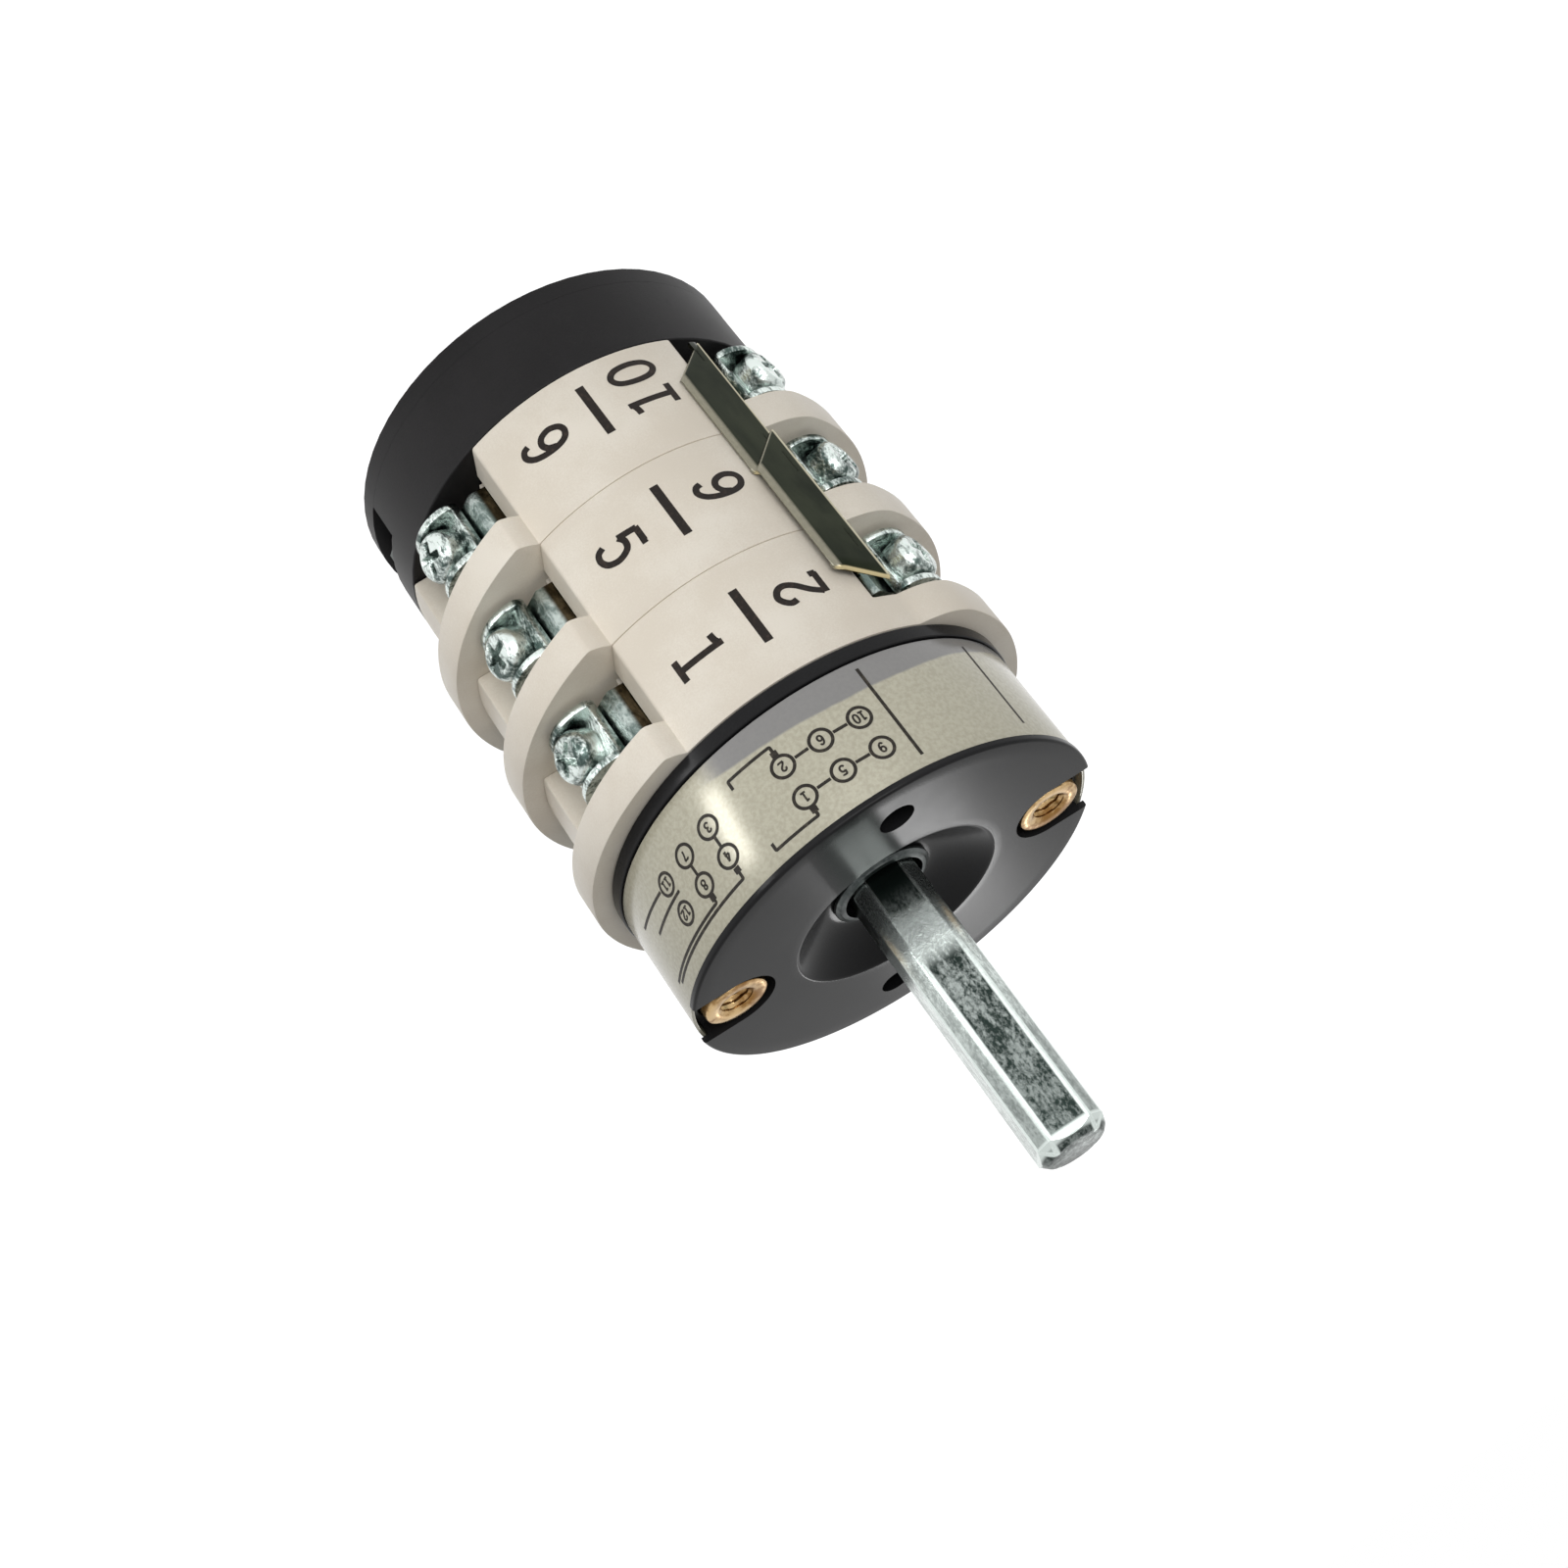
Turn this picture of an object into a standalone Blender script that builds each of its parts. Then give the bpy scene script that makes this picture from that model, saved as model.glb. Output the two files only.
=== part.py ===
"""Tire changer switch: a three stage rotary cam switch with a spring return drum behind it.

The shaft points up (+Z) and the switch stands on the rear cover of its drum.
The number blocks of the stages face -Y, and the two brass mounting inserts lie on the X axis.
Stage 1 is next to the head, stage 3 next to the drum.
"""
import math

import bmesh
import bpy
from mathutils import Matrix

MM = 0.001

# Fits
GAP = 0.3 * MM            # between two pieces that touch on the real switch
CUT = 1.0 * MM            # how far a cutter runs past the face it opens

# Square shaft and the hubs round it
SHAFT_SQUARE = 7.0 * MM
SHAFT_CORNER = 0.6 * MM   # from the flat out to the round corner
SHAFT_BAR_RADIUS = SHAFT_SQUARE / 2 + SHAFT_CORNER
SHAFT_TURN = 1.0          # degrees, where the square rests in the zero position
SHAFT_PROJECTION = 29.4 * MM
SHAFT_TIP_CHAMFER = 1.1 * MM
JOURNAL_STEP = 0.5 * MM   # from the flat in to the journal
JOURNAL_RADIUS = SHAFT_SQUARE / 2 - JOURNAL_STEP
HUB_WALL = 1.1 * MM
HUB_RADIUS = SHAFT_BAR_RADIUS + HUB_WALL
HUB_RIM_STEP = 3.0 * MM
HUB_RIM_THICKNESS = 0.8 * MM
TURN_LIMIT = 60.0         # degrees each way from zero

# Return spring
SPRING_TURNS = 2.5
SPRING_STRIP = 0.7 * MM
SPRING_PITCH = 2.4 * MM
SPRING_WIDTH = 4.0 * MM
SPRING_START = HUB_RADIUS + GAP + SPRING_STRIP / 2
SPRING_END = SPRING_START + SPRING_PITCH * SPRING_TURNS
SPRING_ROOM = 1.0 * MM    # from the last turn out to the drum
SPRING_FLOOR = 1.5 * MM   # from the cover up to the spring
SPRING_TAIL = 1.6 * MM    # how far the spring's end reaches into the drum's slot
SPRING_SLOT_END = 0.6 * MM

# Tie bolts
TIE_BOLT_RADIUS = 1.8 * MM
TIE_BOLT_HEAD_RADIUS = 3.5 * MM
TIE_BOLT_HEAD = 2.8 * MM
TIE_BOLT_CORNER = TIE_BOLT_HEAD_RADIUS / math.cos(math.radians(30))

# Rear drum and its cover
COVER_THICKNESS = 2.2 * MM
DRUM_FRONT_WALL = 2.0 * MM
DRUM_INNER_WALL = 0.46 * MM  # between the spring and a bolt pocket
DRUM_CAVITY_RADIUS = SPRING_END + SPRING_STRIP / 2 + SPRING_ROOM
DRUM_ROOM = SPRING_FLOOR + SPRING_WIDTH + GAP + HUB_RIM_THICKNESS + GAP
DRUM_HEIGHT = COVER_THICKNESS + GAP + DRUM_ROOM + DRUM_FRONT_WALL + GAP
BOLT_POCKET_HALF_WIDTH = 7.2 * MM
BOLT_POCKET_HEIGHT = 4.0 * MM

# Mounting inserts, in line with the tie bolts
INSERT_CIRCLE = DRUM_CAVITY_RADIUS + DRUM_INNER_WALL + TIE_BOLT_CORNER + GAP
INSERT_BORE = 1.65 * MM
INSERT_WALL = 1.75 * MM
INSERT_RADIUS = INSERT_BORE + INSERT_WALL
INSERT_LENGTH = 7.0 * MM
INSERT_SINK = 0.2 * MM
INSERT_BEVEL = 0.3 * MM
SLOT_ROOM = 0.7 * MM      # round an insert
SLOT_RADIUS = INSERT_RADIUS + SLOT_ROOM
SLOT_DEPTH = 1.6 * MM

# Outlines along the switch
RIM_WALL = 4.8 * MM       # from the insert's centre out to the number blocks
RIM_STEP = 0.2 * MM       # from the number blocks in to the drum, the partitions and the label
BLOCK_RADIUS = INSERT_CIRCLE + RIM_WALL
DRUM_RADIUS = BLOCK_RADIUS - RIM_STEP
PARTITION_RADIUS = BLOCK_RADIUS - RIM_STEP

# Terminal screws with their captive saddle clamps
SCREW_RADIUS = 1.7 * MM
SCREW_HEAD_RADIUS = 2.7 * MM
SCREW_HEAD_HEIGHT = 2.8 * MM
SCREW_HEAD_ROUND = 1.1 * MM
SCREW_TAIL = 2.7 * MM
CLAMP_BASE = 1.0 * MM
CLAMP_WALL = 0.8 * MM
CLAMP_RISE = 2.3 * MM
CLAMP_CROWN = 4.4 * MM    # radius of the rounded top of its wings
CLAMP_HALF_WIDTH = 3.6 * MM
CLAMP_LENGTH = 7.6 * MM

# Contact stages
STAGE_COUNT = 3
FLANGE_THICKNESS = 4.0 * MM
CLAMP_HEADROOM = 1.7 * MM  # from a clamp up to the flange
TERMINAL_HEIGHT = CLAMP_LENGTH / 2 + GAP  # screw centre above the stage's rear face
STAGE_PITCH = CLAMP_LENGTH + GAP + CLAMP_HEADROOM + FLANGE_THICKNESS + GAP
BLOCK_HALF_ANGLE = 30.0   # degrees each side of -Y and +Y
BLOCK_WALL_DEPTH = 7.7 * MM
BLOCK_WALL_FLARE = 0.8 * MM
BLOCK_EDGE_X = BLOCK_RADIUS * math.sin(math.radians(BLOCK_HALF_ANGLE))
BLOCK_EDGE_Y = BLOCK_RADIUS * math.cos(math.radians(BLOCK_HALF_ANGLE))
LOBE_HEIGHT = 2.1 * MM    # how far the flange stands out beside the terminals
STEEP_LOBE_ANGLE = 4.0    # degrees over which the lobe rises on its plain side
SOFT_LOBE_ANGLE = 16.0    # and on the side where a link runs past it
LINK_LANE_ANGLE = 7.5     # degrees kept flush there for the link
PARTITION_HALF_WIDTH = 4.7 * MM
PARTITION_DRAFT = 0.2 * MM
POCKET_DEPTH = 10.2 * MM  # from the number blocks' radius in to the floor behind the terminals
POCKET_FLOOR_X = BLOCK_RADIUS - POCKET_DEPTH

# Cams and stop disc
CAM_LIFT = 1.0 * MM       # follower travel for the full turn to one side
CAM_STEP = 1.3 * MM       # from the hub out to the cam's lowest point
CAM_MEAN_RADIUS = HUB_RADIUS + CAM_STEP + CAM_LIFT
CAM_HEADROOM = 2.0 * MM   # from a cam up to the flange, with the running gap
CAM_THICKNESS = STAGE_PITCH - FLANGE_THICKNESS - CAM_HEADROOM - 3 * GAP
CAM_CHAMBER_RADIUS = CAM_MEAN_RADIUS + CAM_LIFT + 2 * GAP
HEAD_CAVITY_WALL = 2.5 * MM
HEAD_CAVITY_RADIUS = INSERT_CIRCLE - TIE_BOLT_RADIUS - GAP - HEAD_CAVITY_WALL
STOP_DISC_RUNNING = 0.8 * MM
STOP_DISC_RADIUS = HEAD_CAVITY_RADIUS - STOP_DISC_RUNNING
STOP_DISC_WING = 3.8 * MM
STOP_DISC_ROOT = STOP_DISC_RADIUS - STOP_DISC_WING
STOP_DISC_THICKNESS = 5.0 * MM
STOP_LUG_HALF_ANGLE = 8.0
STOP_CLEARANCE_ANGLE = 0.5

# Contacts
TERMINAL_ANGLE = 33.0     # degrees from the X axis to a terminal screw
TERMINAL_DEPTH = 3.3 * MM  # from the block's radius in to the middle of the plate
TERMINAL_RADIUS = BLOCK_RADIUS - TERMINAL_DEPTH
TERMINAL_STRIP = 1.0 * MM
TERMINAL_WIDTH = 5.6 * MM
TERMINAL_PLATE_HALF = 3.3 * MM
TERMINAL_BEND = 1.2 * MM  # from the block's wall out to the strip's second bend
CONTACT_OVERLAP = 2.0 * MM
BRIDGE_THICKNESS = 0.8 * MM
BRIDGE_WIDTH = 4.8 * MM
CONTACT_TRAVEL = 1.1 * MM  # gap between bridge and fixed contact at rest
PLUNGER_HALF_WIDTH = 1.5 * MM
PLUNGER_WIDTH = 4.0 * MM
PLUNGER_NOSE = 0.5 * MM
PLUNGER_GUIDE = 2.0 * MM  # thickness of the wall that guides a plunger
FOLLOWER_REST = CAM_MEAN_RADIUS + GAP
BRIDGE_INNER = CAM_CHAMBER_RADIUS + PLUNGER_GUIDE + CAM_LIFT + GAP
CONTACT_INNER = BRIDGE_INNER + BRIDGE_THICKNESS + CONTACT_TRAVEL
CONTACT_LINE = CONTACT_INNER + TERMINAL_STRIP / 2
CONTACT_CHAMBER_WALL = 1.8 * MM
CONTACT_CHAMBER_HALF_LENGTH = BLOCK_EDGE_X - CONTACT_CHAMBER_WALL
CONTACT_CHAMBER_BACK = 1.0 * MM  # behind a fixed contact
CONTACT_CHAMBER_SLOPE = 0.2 * MM

# Links between the terminals of neighbouring stages
LINK_SHEET = 0.4 * MM
LINK_STANDOFF = 0.2 * MM  # from the block's radius out to the rear link
LINK_STACKING = 0.2 * MM  # from the rear link out to the front one
LINK_TERMINAL_SIDE = 2.4 * MM  # edges, from the block's corner
LINK_NUMBER_SIDE = 2.5 * MM
LINK_CORNER_CUT = 1.0 * MM
LINK_REAR_END = 1.3 * MM  # above its rear stage's rear face, on the terminal side
LINK_FRONT_END = 6.4 * MM  # the same on the number side, above its front stage's rear face
LINK_REAR_SLANT = 4.8 * MM
LINK_FRONT_SLANT = 2.2 * MM
LINK_LEG_CLEARANCE = 1.0 * MM  # how far the rear link's face keeps from the front link's leg
LINK_LEG_WIDTH = 3.0 * MM
LINK_FOOT = 0.8 * MM      # from the block's wall out to the leg's end

# Head
HEAD_HEIGHT = 15.2 * MM
LIP_HEIGHT = 0.7 * MM
LIP_ROUND = 0.4 * MM
RING_HEIGHT = 1.6 * MM
HEAD_FLOOR = 5.4 * MM
LABEL_THICKNESS = 0.3 * MM
DISH_RADIUS = 11.2 * MM
DISH_FLOOR_WIDTH = 1.6 * MM
DISH_FLOOR_RADIUS = SHAFT_BAR_RADIUS + DISH_FLOOR_WIDTH
DISH_DEPTH = 3.0 * MM
GUIDE_WASHER_THICKNESS = 0.5 * MM
RIVET_HOLE_RADIUS = 1.85 * MM
RIVET_HOLE_INSET = 5.4 * MM
RIVET_HOLE_CIRCLE = BLOCK_RADIUS - RIVET_HOLE_INSET
RIVET_HOLE_ANGLE = 86.6   # degrees from +X
RIVET_HOLE_DEPTH = 6.0 * MM

# Facets
ROUND_STEPS = 64
SMALL_STEPS = 12
MEDIUM_STEPS = 24

# Heights along the shaft
STAGES_BASE = DRUM_HEIGHT
HEAD_BASE = STAGES_BASE + STAGE_COUNT * STAGE_PITCH
FRONT = HEAD_BASE + HEAD_HEIGHT
SHAFT_TIP = FRONT + SHAFT_PROJECTION


def srgb(red, green, blue):
    """Linear colour of an 8 bit screen colour."""
    return tuple((channel / 255.0) ** 2.2 for channel in (red, green, blue)) + (1.0,)


def material(name, colour, roughness, metallic=0.0):
    """A plain Principled material."""
    made = bpy.data.materials.new(name)
    made.use_nodes = True
    shader = made.node_tree.nodes["Principled BSDF"]
    shader.inputs["Base Color"].default_value = colour
    shader.inputs["Roughness"].default_value = roughness
    shader.inputs["Metallic"].default_value = metallic
    made.diffuse_color = colour
    return made


def polar(radius, degrees):
    """A point in the XY plane."""
    angle = math.radians(degrees)
    return (radius * math.cos(angle), radius * math.sin(angle))


def arc(radius, start, end, step=360.0 / ROUND_STEPS, centre=(0.0, 0.0)):
    """Points of an arc, both ends included, angles in degrees."""
    count = max(1, math.ceil(abs(end - start) / step - 1e-6))
    points = []
    for index in range(count + 1):
        x, y = polar(radius, start + (end - start) * index / count)
        points.append((centre[0] + x, centre[1] + y))
    return points


def circle(radius, steps=ROUND_STEPS, centre=(0.0, 0.0)):
    """A closed round outline."""
    return arc(radius, 0.0, 360.0, 360.0 / steps, centre)[:-1]


def mirror_x(points):
    """The outline on the other side of the YZ plane, still wound the same way."""
    return [(-x, y) for x, y in reversed(points)]


def half_turn(points):
    """The outline turned by 180 degrees about the shaft."""
    return [(-x, -y) for x, y in points]


def new_collection(name):
    """A collection in the scene."""
    made = bpy.data.collections.new(name)
    bpy.context.scene.collection.children.link(made)
    return made


def clear_scene():
    """Removes what the start-up file holds."""
    for old in list(bpy.data.objects):
        bpy.data.objects.remove(old, do_unlink=True)


def finish_mesh(mesh, look):
    """Gives a mesh its material and smooth round sides."""
    mesh.materials.clear()
    mesh.materials.append(look)
    mesh.shade_smooth()
    mesh.set_sharp_from_angle(angle=math.radians(35))


def new_object(name, mesh, matrix=Matrix()):
    """Links a mesh into the switch's collection."""
    made = bpy.data.objects.new(name, mesh)
    SWITCH.objects.link(made)
    made.matrix_world = matrix
    return made


def evaluated_mesh(source):
    """The object's mesh with its modifiers applied, its caps welded and its flat faces made whole."""
    bpy.context.view_layer.update()
    graph = bpy.context.evaluated_depsgraph_get()
    mesh = bpy.data.meshes.new_from_object(source.evaluated_get(graph))
    shape = bmesh.new()
    shape.from_mesh(mesh)
    bmesh.ops.remove_doubles(shape, verts=shape.verts, dist=1e-6)
    bmesh.ops.dissolve_limit(shape, angle_limit=math.radians(0.3), verts=shape.verts, edges=shape.edges)
    shape.to_mesh(mesh)
    shape.free()
    return mesh


def plate(name, outline, bottom, top, look):
    """A flat piece with the given edge."""
    curve = bpy.data.curves.new(name, "CURVE")
    curve.dimensions = "2D"
    curve.fill_mode = "BOTH"
    curve.extrude = (top - bottom) / 2
    spline = curve.splines.new("POLY")
    spline.points.add(len(outline) - 1)
    for point, (x, y) in zip(spline.points, outline):
        point.co = (x, y, 0.0, 1.0)
    spline.use_cyclic_u = True
    drawn = bpy.data.objects.new(name + "_outline", curve)
    SWITCH.objects.link(drawn)
    drawn.location.z = (top + bottom) / 2
    mesh = evaluated_mesh(drawn)
    mesh.transform(drawn.matrix_world)
    finish_mesh(mesh, look)
    bpy.data.objects.remove(drawn, do_unlink=True)
    return new_object(name, mesh)


def turned(name, profile, look, steps=ROUND_STEPS, closed=False, matrix=Matrix()):
    """A turned piece: the profile of (radius, height) runs down its outer side."""
    mesh = bpy.data.meshes.new(name)
    points = [(radius, 0.0, height) for radius, height in profile]
    edges = [(index, index + 1) for index in range(len(points) - 1)]
    if closed:
        edges.append((len(points) - 1, 0))
    mesh.from_pydata(points, edges, [])
    made = new_object(name, mesh, matrix)
    screw = made.modifiers.new("Turn", "SCREW")
    screw.steps = steps
    screw.render_steps = steps
    screw.use_merge_vertices = True
    screw.merge_threshold = 0.00001
    return applied(made, look)


def applied(source, look):
    """The same object with its modifiers made part of its mesh."""
    name = source.name
    mesh = evaluated_mesh(source)
    mesh.transform(source.matrix_world)
    finish_mesh(mesh, look)
    for modifier in source.modifiers:
        if modifier.type == "BOOLEAN":
            bpy.data.objects.remove(modifier.object, do_unlink=True)
    bpy.data.objects.remove(source, do_unlink=True)
    return new_object(name, mesh)


def tool(source):
    """Puts an object among the cutters."""
    SWITCH.objects.unlink(source)
    CUTTERS.objects.link(source)
    source.display_type = "WIRE"
    source.hide_render = True
    return source


def combine(target, other, operation):
    """A Boolean modifier: DIFFERENCE, UNION or INTERSECT."""
    modifier = target.modifiers.new(operation.title(), "BOOLEAN")
    modifier.operation = operation
    modifier.solver = "EXACT"
    modifier.object = tool(other)
    return target


def rod(name, radius, bottom, top, centre, look, steps=SMALL_STEPS):
    """An upright cylinder."""
    return plate(name, circle(radius, steps, centre), bottom, top, look)


def radial_rod(name, radius, inner, outer, degrees, height, look):
    """A cylinder that lies along a radius."""
    made = rod(name, radius, inner, outer, (0.0, 0.0), look)
    made.matrix_world = (Matrix.Translation((0.0, 0.0, height))
                         @ Matrix.Rotation(math.radians(degrees), 4, "Z")
                         @ Matrix.Rotation(math.radians(90), 4, "Y"))
    return made


def copy_at(name, mesh, degrees, height):
    """A repeat of a mesh, turned about the shaft and lifted."""
    matrix = Matrix.Translation((0.0, 0.0, height)) @ Matrix.Rotation(math.radians(degrees), 4, "Z")
    return new_object(name, mesh, matrix)


def ribbon(path, thickness):
    """The outline of a strip of sheet that follows a path, bent with sharp corners."""
    left = []
    right = []
    for index, (x, y) in enumerate(path):
        before = path[max(index - 1, 0)]
        after = path[min(index + 1, len(path) - 1)]
        directions = []
        for start, end in ((before, (x, y)), ((x, y), after)):
            length = math.hypot(end[0] - start[0], end[1] - start[1])
            if length > 0:
                directions.append(((end[0] - start[0]) / length, (end[1] - start[1]) / length))
        sum_x = sum(direction[0] for direction in directions)
        sum_y = sum(direction[1] for direction in directions)
        size = math.hypot(sum_x, sum_y)
        normal = (-sum_y / size, sum_x / size)
        first = directions[0]
        cosine = normal[0] * -first[1] + normal[1] * first[0]
        reach = thickness / 2 / cosine
        left.append((x + normal[0] * reach, y + normal[1] * reach))
        right.append((x - normal[0] * reach, y - normal[1] * reach))
    return right + left[::-1]


def shaft_outline(clearance=0.0):
    """A bar with four flats milled on it."""
    flat = SHAFT_SQUARE / 2 + clearance
    bar = SHAFT_BAR_RADIUS + clearance
    corner = math.degrees(math.acos(flat / bar))
    outline = []
    for side in range(4):
        middle = SHAFT_TURN + 90.0 * side
        outline += arc(bar, middle + corner, middle + 90.0 - corner, 12.0)
    return outline


def stage_base(stage):
    """Height of the rear face of a stage, counted from the head."""
    return HEAD_BASE - stage * STAGE_PITCH


def make_shaft():
    """The square shaft, from the journal in the cover to the chamfered tip."""
    shaft = plate("square_shaft", shaft_outline(), COVER_THICKNESS, SHAFT_TIP, STEEL)
    journal = rod("journal", JOURNAL_RADIUS, GAP, COVER_THICKNESS + CUT, (0.0, 0.0), STEEL, MEDIUM_STEPS)
    combine(shaft, journal, "UNION")
    slope = turned("tip_chamfer", [
        (SHAFT_BAR_RADIUS + CUT, SHAFT_TIP + CUT),
        (SHAFT_BAR_RADIUS + CUT, SHAFT_TIP - SHAFT_TIP_CHAMFER - CUT),
        (SHAFT_BAR_RADIUS - SHAFT_TIP_CHAMFER - CUT, SHAFT_TIP + CUT),
    ], STEEL, MEDIUM_STEPS, closed=True)
    combine(shaft, slope, "DIFFERENCE")
    applied(shaft, STEEL)


def make_cover():
    """The disc that closes the drum and carries the shaft's journal."""
    cover = plate("rear_cover", circle(DRUM_RADIUS), 0.0, COVER_THICKNESS, BLACK)
    combine(cover, rod("cover_bore", JOURNAL_RADIUS + GAP, -CUT, COVER_THICKNESS + CUT, (0.0, 0.0), BLACK,
                       MEDIUM_STEPS), "DIFFERENCE")
    applied(cover, BLACK)


def make_drum():
    """The black cup behind the stages, with side pockets for the tie bolt heads."""
    bottom = COVER_THICKNESS + GAP
    top = DRUM_HEIGHT - GAP
    drum = plate("rear_drum", circle(DRUM_RADIUS), bottom, top, BLACK)
    slot_end = DRUM_CAVITY_RADIUS + SPRING_TAIL + SPRING_SLOT_END
    half = SPRING_STRIP / 2 + GAP
    keyhole = arc(DRUM_CAVITY_RADIUS, 94.0, 446.0) + [(half, slot_end), (-half, slot_end)]
    combine(drum, plate("spring_room", keyhole, bottom - CUT, top - DRUM_FRONT_WALL, BLACK), "DIFFERENCE")
    combine(drum, rod("drum_bore", HUB_RADIUS + GAP, bottom, top + CUT, (0.0, 0.0), BLACK, MEDIUM_STEPS),
            "DIFFERENCE")
    for side in (1, -1):
        inner = INSERT_CIRCLE - TIE_BOLT_CORNER - GAP
        outer = DRUM_RADIUS + CUT
        half = BOLT_POCKET_HALF_WIDTH
        corners = [(side * inner, -half), (side * outer, -half), (side * outer, half), (side * inner, half)]
        if side < 0:
            corners.reverse()
        combine(drum, plate("bolt_pocket", corners, bottom - CUT, bottom + BOLT_POCKET_HEIGHT, BLACK),
                "DIFFERENCE")
        combine(drum, rod("bolt_hole", TIE_BOLT_RADIUS + GAP, bottom, top + CUT,
                          (side * INSERT_CIRCLE, 0.0), BLACK), "DIFFERENCE")
    applied(drum, BLACK)


def make_return():
    """The hub on the shaft's rear end and the spiral spring round it, which ends in a slot of the drum."""
    bottom = COVER_THICKNESS + GAP
    top = STAGES_BASE + GAP
    rim_top = DRUM_HEIGHT - GAP - DRUM_FRONT_WALL - GAP
    rim_bottom = rim_top - HUB_RIM_THICKNESS
    rim = HUB_RADIUS + HUB_RIM_STEP
    hub = turned("return_hub", [
        (0.0, top), (HUB_RADIUS, top), (HUB_RADIUS, rim_top), (rim, rim_top),
        (rim, rim_bottom), (HUB_RADIUS, rim_bottom), (HUB_RADIUS, bottom), (0.0, bottom),
    ], NATURAL, MEDIUM_STEPS)
    combine(hub, plate("hub_square", shaft_outline(GAP), bottom - CUT, top + CUT, NATURAL), "DIFFERENCE")
    applied(hub, NATURAL)

    total = 360.0 * SPRING_TURNS
    steps = round(SPRING_TURNS * 20)
    path = []
    for index in range(steps + 1):
        angle = total * index / steps - total
        radius = SPRING_START + SPRING_PITCH * (angle + total) / 360.0
        path.append(polar(radius, angle + 90.0))
    path.append((0.0, DRUM_CAVITY_RADIUS + SPRING_TAIL))
    spring_top = rim_bottom - GAP
    plate("return_spring", ribbon(path, SPRING_STRIP), spring_top - SPRING_WIDTH, spring_top, SPRING_STEEL)


def lobe_rise(degrees):
    """How far the flange stands out of the block's radius at an angle, two sides alike by a half turn."""
    beside = (degrees % 180.0) - 90.0
    from_block = abs(abs(beside) - 90.0)
    edge = 90.0 - BLOCK_HALF_ANGLE
    ramp = STEEP_LOBE_ANGLE
    if beside < 0:
        edge -= LINK_LANE_ANGLE
        ramp = SOFT_LOBE_ANGLE
    if from_block >= edge:
        return 0.0
    share = min(1.0, (edge - from_block) / ramp)
    return LOBE_HEIGHT * math.sin(share * math.pi / 2)


def flange_outline():
    """The flange: flush at the number blocks and swollen beside the terminals."""
    outline = []
    step = 360.0 / ROUND_STEPS
    angles = [step * index for index in range(ROUND_STEPS)]
    edge = 90.0 - BLOCK_HALF_ANGLE
    for turn in (0.0, 180.0):
        for share in (0.0, 0.33, 0.67, 1.0):
            angles.append((turn - edge + STEEP_LOBE_ANGLE * share) % 360.0)
        angles.append((turn + edge) % 360.0)
    for degrees in sorted(set(round(angle, 6) for angle in angles)):
        outline.append(polar(BLOCK_RADIUS + lobe_rise(degrees), degrees))
    return outline


def body_outline():
    """The stage between its flanges: two number blocks and two partitions, with pockets between."""
    partition_end = math.degrees(math.asin(PARTITION_HALF_WIDTH / PARTITION_RADIUS))
    flare_x = BLOCK_EDGE_X + BLOCK_WALL_FLARE
    flare_y = BLOCK_EDGE_Y - BLOCK_WALL_DEPTH
    root = PARTITION_HALF_WIDTH + PARTITION_DRAFT
    right = [(POCKET_FLOOR_X, -root)] + arc(PARTITION_RADIUS, -partition_end, partition_end)
    right += [(POCKET_FLOOR_X, root), (flare_x, flare_y)]
    upper = arc(BLOCK_RADIUS, 90.0 - BLOCK_HALF_ANGLE, 90.0 + BLOCK_HALF_ANGLE) + [(-flare_x, flare_y)]
    return right + upper + half_turn(right) + half_turn(upper)


def chamber_outline():
    """Room for the cam in the middle and for a contact bridge on each side of it."""
    guide = PLUNGER_HALF_WIDTH + GAP
    inner = BRIDGE_INNER - CAM_LIFT - GAP
    outer = CONTACT_LINE + TERMINAL_STRIP / 2 + CONTACT_CHAMBER_BACK
    half = CONTACT_CHAMBER_HALF_LENGTH
    neck = math.degrees(math.asin(guide / CAM_CHAMBER_RADIUS))
    right = arc(CAM_CHAMBER_RADIUS, -90.0 + neck, 90.0 - neck, 11.0)
    throat = inner - CONTACT_CHAMBER_SLOPE
    upper = [(guide, throat), (half, inner), (half, outer), (-half, outer), (-half, inner), (-guide, throat)]
    return right + upper + half_turn(right) + half_turn(upper)


def make_stage_mesh():
    """One cream stage, with its rear face at height zero."""
    body_top = STAGE_PITCH - GAP - FLANGE_THICKNESS
    stage = plate("stage_shape", body_outline(), 0.0, body_top + FLANGE_THICKNESS / 2, CREAM)
    flange = plate("flange_shape", flange_outline(), body_top, STAGE_PITCH - GAP, CREAM)
    combine(stage, flange, "UNION")
    combine(stage, plate("chamber", chamber_outline(), -CUT, body_top, CREAM), "DIFFERENCE")
    combine(stage, rod("hub_hole", HUB_RADIUS + GAP, body_top - CUT, STAGE_PITCH + CUT, (0.0, 0.0), CREAM,
                       MEDIUM_STEPS), "DIFFERENCE")
    for side in (1, -1):
        combine(stage, rod("tie_hole", TIE_BOLT_RADIUS + GAP, -CUT, STAGE_PITCH + CUT,
                           (side * INSERT_CIRCLE, 0.0), CREAM), "DIFFERENCE")
        low = side * CONTACT_LINE - TERMINAL_STRIP / 2 - GAP
        high = side * CONTACT_LINE + TERMINAL_STRIP / 2 + GAP
        reach = BLOCK_EDGE_X + BLOCK_WALL_FLARE + CUT
        slot = [(-reach, low), (reach, low), (reach, high), (-reach, high)]
        slot_top = TERMINAL_HEIGHT + TERMINAL_WIDTH / 2 + GAP
        combine(stage, plate("terminal_slot", slot, -CUT, slot_top, CREAM), "DIFFERENCE")
    return applied(stage, CREAM)


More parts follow.
